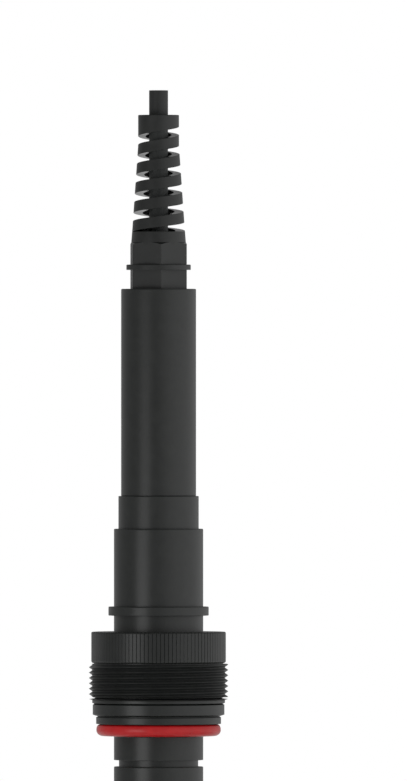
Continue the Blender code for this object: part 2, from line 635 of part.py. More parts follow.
def build_gland_nut(base):
    """Hexagon, base cone and the bend protector with its helical slot, moulded as one piece."""
    nut = turned("gland_nut", relief_profile(), MIDDLE, base)
    flats = hexagon("gland_nut_hexagon", CAP_BASE, CAP_HEX_TOP, base)
    corner_r = GLAND_AF / math.sqrt(3.0)
    cone_r = (GLAND_AF + EDGE) / 2
    cone_foot = CAP_HEX_TOP - (corner_r + EDGE - cone_r) * math.tan(NUT_CORNER_SLOPE)
    corners = [(0.0, CAP_HEX_TOP), (cone_r, CAP_HEX_TOP), (corner_r + EDGE, cone_foot),
               (corner_r + EDGE, CAP_BASE - FIT), (0.0, CAP_BASE - FIT)]
    boolean(flats, turned("gland_nut_corners", corners, MIDDLE, base), "INTERSECT")
    boolean(nut, flats, "UNION")

    foot_bore_r = CABLE_D / 2 + RELIEF_FOOT_BORE_GAP
    bore = [(0.0, RELIEF_TOP + EDGE), (RELIEF_BORE_R, RELIEF_TOP + EDGE),
            (RELIEF_BORE_R, RELIEF_TOP - RELIEF_STRAIGHT), (foot_bore_r, CAP_SHELF),
            (RELIEF_BORE_R, CAP_CONE_TOP), (CAP_BORE_R, CAP_CONE_BASE), (CAP_BORE_R, CAP_BASE - EDGE),
            (0.0, CAP_BASE - EDGE)]
    boolean(nut, turned("gland_nut_bore", bore, MIDDLE, base), "DIFFERENCE")

    inner = CABLE_D / 2
    outer = GLAND_AF / 2 + FIT
    half = SLOT_HEIGHT / 2
    section = [(inner, -half), (outer, -half), (outer, half), (inner, half)]
    turns = SLOT_LEAD_IN + SLOT_TURNS + SLOT_LEAD_OUT
    start = -2.0 * math.pi * SLOT_LEAD_IN
    slot = swept_helix("relief_slot", section, SLOT_PITCH, start, turns, MIDDLE, base)
    slot.location.z = CAP_SHELF + SLOT_FIRST - SLOT_LEAD_IN * SLOT_PITCH
    shelf_guard = box("relief_shelf_guard", (3 * outer, 3 * outer, 2 * SLOT_PITCH),
                      (0.0, 0.0, CAP_SHELF - SLOT_PITCH), base)
    boolean(slot, shelf_guard, "DIFFERENCE")
    boolean(nut, slot, "DIFFERENCE")
    finish(nut, "moulded nylon")


def build_gland():
    base = group_at("gland_base", (0.0, 0.0, REAR_TOP))
    build_gland_body(base)
    build_gland_claw(base)
    build_gland_nut(base)
    seal_top = SEAL_BASE + SEAL_HEIGHT
    seal = ring("gland_seal", CABLE_D / 2 + FIT, SEAL_D / 2, SEAL_BASE, seal_top, MIDDLE, base)
    finish(seal, "black rubber")
    ring_inner = GLAND_THREAD_D / 2 + FIT
    ring_z = -GLAND_RING_SECTION / 2
    small = o_ring("gland_oring", ring_inner, GLAND_RING_SECTION, ring_z, MIDDLE, SMALL_RING_SIDES, base)
    finish(small, "black rubber")


def build_cable():
    """Jacket, braid and four cores, cut flat above the strain relief, and fanned out to the plug inside."""
    base = group_at("cable_axis", (0.0, 0.0, REAR_TOP))
    offset = (CORE_D + CORE_GAP) / 2
    shield_inner = offset * math.sqrt(2.0) + CORE_D / 2 + CORE_GAP
    shield_outer = shield_inner + SHIELD_WALL
    low = POTTING_TOP - JACKET_END
    jacket = ring("cable_jacket", shield_outer + CORE_GAP, CABLE_D / 2, low, CABLE_TOP, SMALL, base)
    finish(jacket, "cable sheath")
    finish(ring("cable_shield", shield_inner, shield_outer, low, CABLE_TOP, SMALL, base), "copper braid")

    plug_top = BOARD_TOP - REAR_TOP + FIT
    plug_y = -(BOARD_THICKNESS / 2 + FIT + CABLE_PLUG_SIZE[1] / 2)
    cores = [("core_red", "red insulation", -1, -1), ("core_black", "black insulation", -1, 1),
             ("core_green", "green insulation", 1, 1), ("core_white", "white insulation", 1, -1)]
    for i, (name, look, side_x, side_y) in enumerate(cores):
        start = (side_x * offset, side_y * offset, CABLE_TOP)
        end = ((i - 1.5) * CORE_SPREAD, plug_y, plug_top)
        path = eased_path(start, end, low, plug_top + CORE_D, CORE_BENDS)
        finish(wire(name, path, CORE_D, base), look)


def build_potting():
    """Epoxy round the cable, inside the rear housing."""
    low = REAR_TOP + POTTING_TOP - POTTING_HEIGHT
    plug = ring("cable_potting", CABLE_D / 2 + FIT, SPIGOT_R, low, REAR_TOP + POTTING_TOP, MIDDLE)
    finish(plug, "epoxy")


def build_board():
    """Long narrow board in the bore, its clip on the spigot, and the parts soldered to it."""
    board_z = (BOARD_BASE + BOARD_TOP) / 2
    board = box("circuit_board", (BOARD_WIDTH, BOARD_THICKNESS, BOARD_LENGTH), (0.0, 0.0, board_z))
    finish(board, "glass epoxy board")

    clip_base = SPIGOT_TOP + FIT
    clip = disc("board_clip", SPIGOT_R, clip_base, clip_base + CLIP_HEIGHT, MIDDLE)
    opening = box("clip_slot", (BOARD_WIDTH + 2 * FIT, BOARD_THICKNESS + 2 * FIT, 3 * CLIP_HEIGHT),
                  (0.0, 0.0, clip_base + CLIP_HEIGHT / 2))
    boolean(clip, opening, "DIFFERENCE")
    finish(clip, "connector nylon")

    above = clip_base + CLIP_HEIGHT
    on_board("cable_plug", CABLE_PLUG_SIZE, BOARD_TOP - CABLE_PLUG_SIZE[2] / 2, -1, "connector nylon")
    on_board("power_module", POWER_MODULE_SIZE, above + POWER_MODULE_ABOVE_CLIP, 1, "chip resin")
    on_board("transceiver", TRANSCEIVER_SIZE, above + TRANSCEIVER_ABOVE_CLIP, -1, "chip resin")
    on_board("processor", PROCESSOR_SIZE, BOARD_BASE + PROCESSOR_ABOVE_BASE, -1, "chip resin")
    on_board("amplifier", AMPLIFIER_SIZE, BOARD_BASE + AMPLIFIER_ABOVE_BASE, -1, "chip resin")

    can = disc("smoothing_capacitor", CAPACITOR_D / 2, 0.0, CAPACITOR_HEIGHT, SMALL)
    can.location = (0.0, BOARD_THICKNESS / 2 + FIT, above + CAPACITOR_ABOVE_CLIP)
    can.rotation_euler.x = math.radians(-90)
    finish(can, "capacitor can")


def on_board(name, size, height, side, look):
    """A block on the board's front (side -1) or back (side 1)."""
    centre = (0.0, side * (BOARD_THICKNESS / 2 + FIT + size[1] / 2), height)
    finish(box(name, size, centre), look)


def head_profile():
    """The head's cup: up the inside from the floor, then down the outside to the sensing face."""
    outer = BARREL_D / 2
    spigot_r = HEAD_SPIGOT_D / 2
    neck_r = HEAD_NECK_D / 2
    inner = HEAD_BORE / 2
    throat = HEAD_SPIGOT_BORE / 2
    floor = SENSING_FACE + HEAD_FLOOR
    ring_low = HEAD_NECK_TOP + RING_GROOVE_WIDTH
    inside = [(0.0, floor), (inner, floor), (inner, HEAD_THROAT), (throat, HEAD_SHOULDER),
              (throat, HEAD_TOP)]
    seal_groove = groove(spigot_r, SMALL_RING_SECTION + FIT, ring_low, ring_low + RING_GROOVE_WIDTH)
    spigot = [(spigot_r - EDGE, HEAD_TOP), (spigot_r, HEAD_TOP - EDGE), *seal_groove,
              (spigot_r, HEAD_NECK_TOP)]
    outside = [(neck_r, HEAD_NECK_TOP), (neck_r, HEAD_NECK_BASE), (outer - EDGE, HEAD_NECK_BASE),
               (outer, HEAD_NECK_BASE - EDGE), (outer, SENSING_FACE + HEAD_CHAMFER),
               (outer - HEAD_CHAMFER, SENSING_FACE), (0.0, SENSING_FACE)]
    return [*inside, *spigot, *outside]


def build_head():
    """The measuring head's body, bored for its electrodes, its ring and the epoxy at its top."""
    body = turned("head_body", head_profile(), LARGE)
    floor = SENSING_FACE + HEAD_FLOOR
    seats = [("electrode_hole", ELECTRODE_AT, ELECTRODE_D), ("reference_hole", REFERENCE_AT, REFERENCE_D),
             ("thermometer_hole", THERMOMETER_AT, SHEATH_D)]
    for name, place, diameter in seats:
        hole = disc(name, diameter / 2 + FIT, SENSING_FACE - EDGE, floor + EDGE, SMALL)
        hole.location = place
        boolean(body, hole, "DIFFERENCE")
    finish(body, "turned acetal")

    ring_z = HEAD_NECK_TOP + RING_GROOVE_WIDTH + RING_GROOVE_WIDTH / 2
    inner = HEAD_SPIGOT_D / 2 - SMALL_RING_SECTION
    finish(o_ring("head_oring", inner, SMALL_RING_SECTION, ring_z, MIDDLE, SMALL_RING_SIDES), "black rubber")

    top = HEAD_TOP - BULKHEAD_BELOW_TOP
    plug = disc("bulkhead_potting", HEAD_SPIGOT_BORE / 2 - FIT, top - BULKHEAD_HEIGHT, top, MIDDLE)
    for i in range(4):
        low = top - BULKHEAD_HEIGHT
        hole = disc(f"lead_hole_{i + 1}", LEAD_D / 2 + FIT, low - EDGE, top + EDGE, SMALL // 2)
        hole.location.x = lead_x(i)
        boolean(plug, hole, "DIFFERENCE")
    finish(plug, "epoxy")


def lead_x(index):
    """Where a lead passes the bulkhead and meets the board."""
    return (index - 1.5) * LEAD_SPREAD


def half_cell(name, place, diameter, wall, low, high, wire_low, wire_name):
    """A tube with a stepped plug in its top and a silver wire down its middle."""
    base = group_at(f"{name}_axis", place)
    outer = diameter / 2
    inner = outer - wall
    hole = WIRE_D / 2 + FIT
    finish(ring(f"{name}_tube", inner, outer, low, high, SMALL, base), "electrode tube")
    plug_low = high + FIT
    plug = [(hole, plug_low + PLUG_HEAD), (outer, plug_low + PLUG_HEAD), (outer, plug_low),
            (inner - FIT, plug_low), (inner - FIT, plug_low - PLUG_SPIGOT), (hole, plug_low - PLUG_SPIGOT)]
    finish(turned(f"{name}_plug", plug, SMALL, base), "electrode tube")
    wire_high = plug_low + PLUG_HEAD + WIRE_PROUD
    finish(disc(wire_name, WIRE_D / 2, wire_low, wire_high, SMALL // 2, base), "silver")
    return base


def build_electrode():
    """Inner tube, ion selective membrane and the ring that holds it in the sensing face."""
    ring_low = SENSING_FACE + FIT / 2
    membrane_low = ring_low + MEMBRANE_RING_HEIGHT + FIT
    tube_low = membrane_low + MEMBRANE_HEIGHT + FIT
    base = half_cell("electrode", ELECTRODE_AT, ELECTRODE_D, ELECTRODE_WALL, tube_low, ELECTRODE_TOP,
                     tube_low + WIRE_PROUD, "electrode_wire")
    membrane_high = membrane_low + MEMBRANE_HEIGHT
    membrane = disc("ion_membrane", ELECTRODE_D / 2 - FIT, membrane_low, membrane_high, SMALL, base)
    finish(membrane, "ion membrane")
    ring_high = ring_low + MEMBRANE_RING_HEIGHT
    holder = ring("membrane_ring", MEMBRANE_WINDOW / 2, ELECTRODE_D / 2, ring_low, ring_high, SMALL, base)
    finish(holder, "electrode tube")
    lead("electrode_lead", ELECTRODE_AT, ELECTRODE_TOP + PLUG_HEAD + WIRE_PROUD + 2 * FIT, 0)


def build_reference():
    """Reference tube with a porous junction in the sensing face."""
    low = SENSING_FACE
    base = half_cell("reference", REFERENCE_AT, REFERENCE_D, REFERENCE_WALL, low, REFERENCE_TOP,
                     low + JUNCTION_HEIGHT + WIRE_PROUD, "reference_wire")
    junction_r = REFERENCE_D / 2 - REFERENCE_WALL - FIT
    junction = disc("reference_junction", junction_r, low + FIT / 2, low + JUNCTION_HEIGHT, SMALL, base)
    finish(junction, "porous ceramic")
    lead("reference_lead", REFERENCE_AT, REFERENCE_TOP + PLUG_HEAD + WIRE_PROUD + 2 * FIT, 1)


def build_thermometer():
    """A thin steel tube with a round closed end that stands proud of the sensing face."""
    base = group_at("thermometer_axis", THERMOMETER_AT)
    outer = SHEATH_D / 2
    inner = outer - SHEATH_WALL
    top = SHEATH_TOP
    angles = [math.radians(90.0 * i / DOME_STEPS) for i in range(DOME_STEPS)]
    outside = [(outer * math.cos(a), TIP + outer - outer * math.sin(a)) for a in angles]
    profile = [(0.0, TIP + outer), (inner, TIP + outer), (inner, top), (outer, top), *outside, (0.0, TIP)]
    finish(turned("temperature_sheath", profile, SMALL, base), "stainless steel")
    bead_low = TIP + outer + FIT
    bead_r = inner - FIT
    finish(disc("thermistor", bead_r, bead_low, bead_low + THERMISTOR_LENGTH, SMALL, base), "thermistor bead")
    lead_low = bead_low + THERMISTOR_LENGTH + FIT
    apart = Vector((bead_r / 2, 0.0, 0.0))
    lead("thermistor_lead_1", THERMOMETER_AT - apart, lead_low, 2)
    lead("thermistor_lead_2", THERMOMETER_AT + apart, lead_low, 3)


def lead(name, place, low, index):
    """A lead from a sensor in the head, up through the bulkhead, to the board's lower end."""
    start = (place.x, place.y, low)
    end = (lead_x(index), 0.0, BOARD_BASE - FIT)
    bend_low = max(low + LEAD_D, HEAD_THROAT - LEAD_BEND_ROOM)
    bend_high = HEAD_TOP - BULKHEAD_BELOW_TOP - BULKHEAD_HEIGHT - LEAD_D
    path = eased_path(start, end, bend_low, bend_high, LEAD_BENDS)
    finish(wire(name, path, LEAD_D), "white insulation")


def build_sensor():
    build_main_housing()
    build_retaining_ring()
    build_lock_nut()
    build_seat_ring()
    build_rear_housing()
    build_gland()
    build_cable()
    build_potting()
    build_board()
    build_head()
    build_electrode()
    build_reference()
    build_thermometer()


clear_scene()
PARTS = new_collection("sodium_ion_sensor")
CUTTERS = new_collection("cutters")
build_sensor()
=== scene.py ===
import math

import bmesh
import bpy
import numpy as np
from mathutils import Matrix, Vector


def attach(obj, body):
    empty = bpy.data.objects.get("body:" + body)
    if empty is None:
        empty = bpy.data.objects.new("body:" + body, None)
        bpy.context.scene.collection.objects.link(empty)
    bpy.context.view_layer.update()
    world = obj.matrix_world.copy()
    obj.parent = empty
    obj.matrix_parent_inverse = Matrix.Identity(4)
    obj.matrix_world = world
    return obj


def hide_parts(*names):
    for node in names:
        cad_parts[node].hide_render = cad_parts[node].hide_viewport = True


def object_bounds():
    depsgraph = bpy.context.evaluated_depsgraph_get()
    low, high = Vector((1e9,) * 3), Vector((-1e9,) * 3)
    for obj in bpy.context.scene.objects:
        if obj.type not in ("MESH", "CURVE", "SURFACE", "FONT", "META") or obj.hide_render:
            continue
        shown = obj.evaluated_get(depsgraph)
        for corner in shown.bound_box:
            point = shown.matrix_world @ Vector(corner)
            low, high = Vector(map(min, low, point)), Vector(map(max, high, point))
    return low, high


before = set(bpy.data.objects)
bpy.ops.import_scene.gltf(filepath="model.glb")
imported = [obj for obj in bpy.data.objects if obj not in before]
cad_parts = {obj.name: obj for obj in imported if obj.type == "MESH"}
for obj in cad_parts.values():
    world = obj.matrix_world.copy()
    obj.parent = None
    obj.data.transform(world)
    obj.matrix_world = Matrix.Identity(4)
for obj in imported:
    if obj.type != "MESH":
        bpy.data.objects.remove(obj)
cad_low, cad_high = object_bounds()

# The sensor's sizes are in millimetres, in the frame of the CAD, and each mesh is scaled to metres as it is made
MM = 0.001
ROUND_STEPS = 144
SMALL_STEPS = 64
CORNER_STEPS = 4
SHARP_ANGLE = math.radians(33)
ON_AXIS = 1e-6

# The CAD keeps 0.3 mm between pieces; here they all but touch, as they do on the real sensor
TOUCH = 0.02

# A wave texture of scale 1 repeats every 0.314 units: this over a spacing in millimetres is the scale it needs
WAVE = 0.314

# The photograph's frame in pixels, where the sensor's axis and seat face are in it, and its scale
FRAME_WIDTH = 407.0
FRAME_HEIGHT = 781.0
AXIS_COLUMN = 158.57
SEAT_ROW = 724.4
PIXELS_PER_MM = 3.57

# The sensor's levels and radii, all within 0.5 mm of the CAD's; some are moved to where the photo has them
BARREL_R = 12.5
NECK_R = 11.25
STEP_R = 17.5
BAND_R = 18.45
STEP_BASE = 0.15
STEP_TOP = 2.25
NECK_BASE = 54.8
NECK_TOP = 64.0
SPIGOT_R = 8.5
SPIGOT_BORE_R = 6.5
SPIGOT_TOP = 76.0
HOUSING_BORE_R = 9.5
REAR_R = 10.5
REAR_BORE_R = 8.8
REAR_TOP = 122.0
RIM = -9.95
RING_LOW = 30.5
RING_HIGH = 33.0
RING_BORE_R = 12.1
RING_R = 14.05
RING_GAP = 3.0
SENSING_FACE = -76.0
SEAM_R = 18.0
SEAM_Z = 5.8
NUT_BASE = 6.9
NUT_LIP = 7.1
THREAD_BASE = 7.7
THREAD_TOP = 16.95
KNURL_BASE = 17.2
NUT_TOP = 25.95
NUT_BORE_R = 12.8
THREAD_R = 19.5
THREAD_ROOT_R = 18.58
THREAD_PITCH = 1.5
KNURL_R = 18.85
KNURL_TEETH = 104
SEAT_RING_R = 15.65
SEAT_RING_HALF = 1.77
CABLE_R = 2.65
SHEATH_BORE_R = 1.95
CABLE_TOP = 177.6
CABLE_BASE = 109.0
CORE_R = 0.55
CORE_AT = 0.625
COPPER_R = 0.34
PLUG_TOP = 102.3
PLUG_Y = -3.35

# The gland, from the rear housing's top face up
GLAND_AF = 15.2
HEX_TURN = math.radians(4.65)
GLAND_BORE_R = 4.8
FLANGE_R = 9.025
FLANGE_LOW = 127.3
FLANGE_HIGH = 128.8
GLAND_NECK_R = 5.4
GLAND_THREAD_R = 6.1
GLAND_SPIGOT_BASE = 112.0
GLAND_NECK_TOP = 134.3
CAP_BORE_R = 6.4
CAP_HEX_TOP = 135.0
SHELF = 138.05
RELIEF_TOP = 170.7
RELIEF_STRAIGHT = RELIEF_TOP - 8.5
RELIEF_R = 5.725
RELIEF_FOOT_R = 7.4
RELIEF_BORE_R = 3.65
RELIEF_FOOT_BORE_R = 4.75
SLOT_PITCH = 5.36
SLOT_HEIGHT = 2.3
SLOT_FIRST = 139.45

# The measuring head: where its three parts stand, the floor of its cup, and the thermometer's steel finger
ELECTRODE_AT = (-4.2, 0.0)
REFERENCE_AT = (4.4, 3.9)
THERMOMETER_AT = (4.4, -3.9)
CUP_FLOOR = -68.0
SHEATH_TIP = -78.0
SHEATH_TOP = -49.7
SHEATH_R = 2.0

# The share of the room's light that a mirrored ray sees, from straight down (-1) to straight up (1)
MIRRORED = ((-1.0, 0.15), (-0.75, 0.15), (-0.42, 0.9), (-0.26, 1.06), (-0.1, 0.71), (0.0, 0.68), (0.1, 0.67),
            (0.22, 0.5), (0.42, 0.5), (0.75, 0.15), (1.0, 0.15))


def colour(text):
    """An sRGB hex colour as linear red, green, blue and alpha."""
    parts = [int(text[i:i + 2], 16) / 255 for i in (1, 3, 5)]
    return (*[c / 12.92 if c <= 0.04045 else ((c + 0.055) / 1.055) ** 2.4 for c in parts], 1.0)


def add(tree, kind, inputs=None, **settings):
    """Adds a node with its settings; inputs gives a socket its value, or the output that feeds it."""
    node = tree.nodes.new(kind)
    for name, value in settings.items():
        setattr(node, name, value)
    for socket, value in (inputs or {}).items():
        if isinstance(value, bpy.types.NodeSocket):
            tree.links.new(value, node.inputs[socket])
        else:
            node.inputs[socket].default_value = value
    return node


def material(name, ior=None):
    """A new material, its shader and its surface coordinates in millimetres; without an IOR it is a metal."""
    made = bpy.data.materials.new(name)
    made.use_nodes = True
    tree = made.node_tree
    shader = tree.nodes["Principled BSDF"]
    if ior is None:
        shader.inputs["Metallic"].default_value = 1.0
    else:
        shader.inputs["IOR"].default_value = ior
    place = add(tree, "ShaderNodeTexCoord")
    mm = add(tree, "ShaderNodeVectorMath", {0: place.outputs["Object"], 3: 1.0 / MM}, operation="SCALE")
    return made, tree, shader, mm.outputs["Vector"]


def dress(tree, shader, pattern, shades, rough, height, depth_mm, strength):
    """Lets a pattern move colour and roughness between two values each, and lets a height raise the surface."""
    tint = add(tree, "ShaderNodeValToRGB", {"Fac": pattern})
    for stop, position, shade in zip(tint.color_ramp.elements, (0.3, 0.7), shades):
        stop.position = position
        stop.color = colour(shade)
    tree.links.new(tint.outputs["Color"], shader.inputs["Base Color"])
    gloss = add(tree, "ShaderNodeMapRange", {"Value": pattern, "To Min": rough[0], "To Max": rough[1]})
    tree.links.new(gloss.outputs["Result"], shader.inputs["Roughness"])
    bump = add(tree, "ShaderNodeBump", {"Height": height, "Distance": depth_mm * MM, "Strength": strength})
    tree.links.new(bump.outputs["Normal"], shader.inputs["Normal"])


def turned_acetal(name, shades, roughness):
    """Black acetal rod, turned on a lathe: satin, with fine feed marks round it.

    The real marks are about 0.1 mm apart, too fine to show, and are drawn 0.35 mm apart.
    """
    made, tree, shader, mm = material(name, 1.48)
    mottle = add(tree, "ShaderNodeTexNoise", {"Vector": mm, "Scale": 0.35, "Detail": 6.0, "Roughness": 0.6})
    marks = add(tree, "ShaderNodeTexWave", {"Vector": mm, "Scale": WAVE / 0.35, "Distortion": 0.3,
                                            "Detail": 1.0, "Detail Scale": 0.6}, bands_direction="Z")
    dress(tree, shader, mottle.outputs["Fac"], shades, (roughness - 0.03, roughness + 0.04),
          marks.outputs["Fac"], depth_mm=0.004, strength=0.35)
    return made


def moulded_nylon():
    """Black polyamide from a spark-eroded mould: a fine even grain of about 0.25 mm that softens its shine.

    The faces across the axis come from polished steel, the core that forms the spiral slot, and are smoother.
    """
    made, tree, shader, mm = material("moulded_black_nylon", 1.53)
    mottle = add(tree, "ShaderNodeTexNoise", {"Vector": mm, "Scale": 0.6, "Detail": 5.0})
    grain = add(tree, "ShaderNodeTexNoise", {"Vector": mm, "Scale": 4.0, "Detail": 2.0, "Roughness": 0.6})
    dress(tree, shader, mottle.outputs["Fac"], ("#141615", "#1a1c1b"), (0.4, 0.5),
          grain.outputs["Fac"], depth_mm=0.015, strength=0.4)
    surface = add(tree, "ShaderNodeNewGeometry")
    axes = add(tree, "ShaderNodeSeparateXYZ", {"Vector": surface.outputs["Normal"]})
    upright = add(tree, "ShaderNodeMath", {0: axes.outputs["Z"]}, operation="ABSOLUTE")
    across = add(tree, "ShaderNodeMath", {0: upright.outputs["Value"], 1: 0.8}, operation="GREATER_THAN")
    grained = shader.inputs["Roughness"].links[0].from_socket
    either = add(tree, "ShaderNodeMix", {"Factor": across.outputs["Value"], "A": grained, "B": 0.1})
    tree.links.new(either.outputs["Result"], shader.inputs["Roughness"])
    return made


def cable_sheath():
    """Extruded black polyurethane: matt, with faint lines drawn along the cable.

    Under the bend protector its colour is painted a paler grey: painted light that lifts the shade the slots cast on
    the cable.
    """
    made, tree, shader, mm = material("extruded_black_polyurethane", 1.5)
    along = add(tree, "ShaderNodeVectorMath", {0: mm, 1: (3.0, 3.0, 0.08)}, operation="MULTIPLY")
    lines = add(tree, "ShaderNodeTexNoise", {"Vector": along.outputs["Vector"], "Scale": 1.0, "Detail": 3.0})
    dress(tree, shader, lines.outputs["Fac"], ("#1a1c1b", "#202221"), (0.5, 0.6),
          lines.outputs["Fac"], depth_mm=0.02, strength=0.4)
    axes = add(tree, "ShaderNodeSeparateXYZ", {"Vector": mm})
    # Painted light: below the protector's top the sheath's colour is mixed to a paler grey, standing in for the light
    # that the slots shade off
    painted_light_mask = add(tree, "ShaderNodeMapRange", {"Value": axes.outputs["Z"], "From Min": RELIEF_TOP - 0.6,
                                               "From Max": RELIEF_TOP + 0.2, "To Min": 1.0, "To Max": 0.0})
    own_colour = shader.inputs["Base Color"].links[0].from_socket
    talc_and_painted_light = add(tree, "ShaderNodeMix", {"Factor": painted_light_mask.outputs["Result"], "A": own_colour, "B": colour("#323534")},
               data_type="RGBA")
    tree.links.new(talc_and_painted_light.outputs["Result"], shader.inputs["Base Color"])
    return made


def red_silicone():
    """Moulded red silicone rubber: satin and slightly waxy, so that light goes a little way in."""
    made, tree, shader, mm = material("moulded_red_silicone", 1.41)
    shader.inputs["Subsurface Weight"].default_value = 0.06
    shader.inputs["Subsurface Radius"].default_value = (1.0, 0.25, 0.2)
    shader.inputs["Subsurface Scale"].default_value = 0.6 * MM
    mottle = add(tree, "ShaderNodeTexNoise", {"Vector": mm, "Scale": 0.5, "Detail": 4.0})
    grain = add(tree, "ShaderNodeTexNoise", {"Vector": mm, "Scale": 5.0, "Detail": 2.0})
    dress(tree, shader, mottle.outputs["Fac"], ("#a81418", "#b2181c"), (0.25, 0.34),
          grain.outputs["Fac"], depth_mm=0.01, strength=0.4)
    return made


def nitrile_rubber():
    """Black nitrile seals: dull, with a dusting of talc in the low places."""
    made, tree, shader, mm = material("moulded_nitrile_rubber", 1.52)
    talc_and_painted_light = add(tree, "ShaderNodeTexNoise", {"Vector": mm, "Scale": 2.5, "Detail": 6.0})
    dress(tree, shader, talc_and_painted_light.outputs["Fac"], ("#171717", "#242424"), (0.5, 0.72),
          talc_and_painted_light.outputs["Fac"], depth_mm=0.02, strength=0.5)
    return made


def plain_plastic(name, ior, shades, roughness, grain_mm):
    """A moulded or extruded plastic with a slight mottle and a fine grain of the given size."""
    made, tree, shader, mm = material(name, ior)
    mottle = add(tree, "ShaderNodeTexNoise", {"Vector": mm, "Scale": 0.8, "Detail": 4.0})
    grain = add(tree, "ShaderNodeTexNoise", {"Vector": mm, "Scale": 1.0 / grain_mm, "Detail": 2.0})
    dress(tree, shader, mottle.outputs["Fac"], shades, (roughness - 0.04, roughness + 0.05),
          grain.outputs["Fac"], depth_mm=0.01, strength=0.4)
    return made


def copper_braid():
    """Copper braid round the cores: crossed wires that catch the light, drawn 0.4 mm wide to show."""
    made, tree, shader, mm = material("copper_braid")
    left = add(tree, "ShaderNodeTexWave", {"Vector": mm, "Scale": WAVE / 0.4}, bands_direction="DIAGONAL")
    mirror = add(tree, "ShaderNodeVectorMath", {0: mm, 1: (-1.0, 1.0, 1.0)}, operation="MULTIPLY")
    right = add(tree, "ShaderNodeTexWave", {"Vector": mirror.outputs["Vector"], "Scale": WAVE / 0.4},
                bands_direction="DIAGONAL")
    weave = add(tree, "ShaderNodeMath", {0: left.outputs["Fac"], 1: right.outputs["Fac"]}, operation="MAXIMUM")
    dress(tree, shader, weave.outputs["Value"], ("#8a5a40", "#d9a07c"), (0.5, 0.3),
          weave.outputs["Value"], depth_mm=0.08, strength=0.8)
    return made


def cored_insulation(shade, dark, light, centre):
    """PVC insulation on a stranded core: satin, and bare copper shows in the middle of its cut end."""
    made, tree, shader, mm = material(shade + "_pvc_insulation", 1.53)
    mottle = add(tree, "ShaderNodeTexNoise", {"Vector": mm, "Scale": 1.5, "Detail": 4.0})
    grain = add(tree, "ShaderNodeTexNoise", {"Vector": mm, "Scale": 5.0, "Detail": 2.0})
    dress(tree, shader, mottle.outputs["Fac"], (dark, light), (0.36, 0.45),
          grain.outputs["Fac"], depth_mm=0.01, strength=0.4)
    axes = add(tree, "ShaderNodeSeparateXYZ", {"Vector": mm})
    flat = add(tree, "ShaderNodeCombineXYZ", {"X": axes.outputs["X"], "Y": axes.outputs["Y"]})
    away = add(tree, "ShaderNodeVectorMath", {0: flat.outputs["Vector"], 1: (*centre, 0.0)},
               operation="DISTANCE")
    inside = add(tree, "ShaderNodeMath", {0: away.outputs["Value"], 1: COPPER_R}, operation="LESS_THAN")
    above = add(tree, "ShaderNodeMath", {0: axes.outputs["Z"], 1: CABLE_TOP - 0.05}, operation="GREATER_THAN")
    bare = add(tree, "ShaderNodeMath", {0: inside.outputs["Value"], 1: above.outputs["Value"]},
               operation="MULTIPLY")
    strands = add(tree, "ShaderNodeTexVoronoi", {"Vector": mm, "Scale": 5.0}, feature="F1")
    copper = add(tree, "ShaderNodeValToRGB", {"Fac": strands.outputs["Distance"]})
    copper.color_ramp.elements[0].color = colour("#c98a62")
    copper.color_ramp.elements[1].color = colour("#5a3524")
    skin = shader.inputs["Base Color"].links[0].from_socket
    both = add(tree, "ShaderNodeMix", {"Factor": bare.outputs["Value"], "A": skin,
                                       "B": copper.outputs["Color"]}, data_type="RGBA")
    tree.links.new(both.outputs["Result"], shader.inputs["Base Color"])
    tree.links.new(bare.outputs["Value"], shader.inputs["Metallic"])
    return made


def potting_epoxy():
    """Black potting resin, poured: glossy, with faint flow marks and a few small bubbles."""
    made, tree, shader, mm = material("poured_epoxy", 1.55)
    flow = add(tree, "ShaderNodeTexNoise", {"Vector": mm, "Scale": 0.5, "Detail": 5.0, "Distortion": 1.0})
    bubbles = add(tree, "ShaderNodeTexVoronoi", {"Vector": mm, "Scale": 0.9}, feature="F1")
    pits = add(tree, "ShaderNodeMapRange", {"Value": bubbles.outputs["Distance"], "From Max": 0.25})
    dress(tree, shader, flow.outputs["Fac"], ("#1c1a18", "#2a2622"), (0.14, 0.28),
          pits.outputs["Result"], depth_mm=0.1, strength=0.5)
    return made


def circuit_board():
    """Green solder mask on woven glass: the weave, about 0.5 mm, shows through the mask as faint squares."""
    made, tree, shader, mm = material("glass_epoxy_board", 1.55)
    warp = add(tree, "ShaderNodeTexWave", {"Vector": mm, "Scale": WAVE / 0.5}, bands_direction="X")
    weft = add(tree, "ShaderNodeTexWave", {"Vector": mm, "Scale": WAVE / 0.5}, bands_direction="Z")
    weave = add(tree, "ShaderNodeMath", {0: warp.outputs["Fac"], 1: weft.outputs["Fac"]}, operation="MULTIPLY")
    dress(tree, shader, weave.outputs["Value"], ("#1d5a34", "#256b40"), (0.28, 0.38),
          weave.outputs["Value"], depth_mm=0.02, strength=0.4)
    return made


def worked_metal(name, shades, roughness, line_mm):
    """A drawn or turned metal with fine bright lines round it, the given distance apart."""
    made, tree, shader, mm = material(name)
    lines = add(tree, "ShaderNodeTexWave", {"Vector": mm, "Scale": WAVE / line_mm, "Distortion": 1.5,
                                            "Detail": 2.0}, bands_direction="Z")
    dress(tree, shader, lines.outputs["Fac"], shades, (roughness - 0.06, roughness + 0.08),
          lines.outputs["Fac"], depth_mm=0.004, strength=0.4)
    return made


def sintered_ceramic():
    """White porous ceramic: dead matt, with open pores of about 0.1 mm drawn 0.2 mm wide."""
    made, tree, shader, mm = material("sintered_porous_ceramic", 1.6)
    pores = add(tree, "ShaderNodeTexVoronoi", {"Vector": mm, "Scale": 5.0}, feature="F1")
    dress(tree, shader, pores.outputs["Distance"], ("#b9b4a8", "#e4e0d6"), (0.85, 0.95),
          pores.outputs["Distance"], depth_mm=0.05, strength=0.7)
    return made


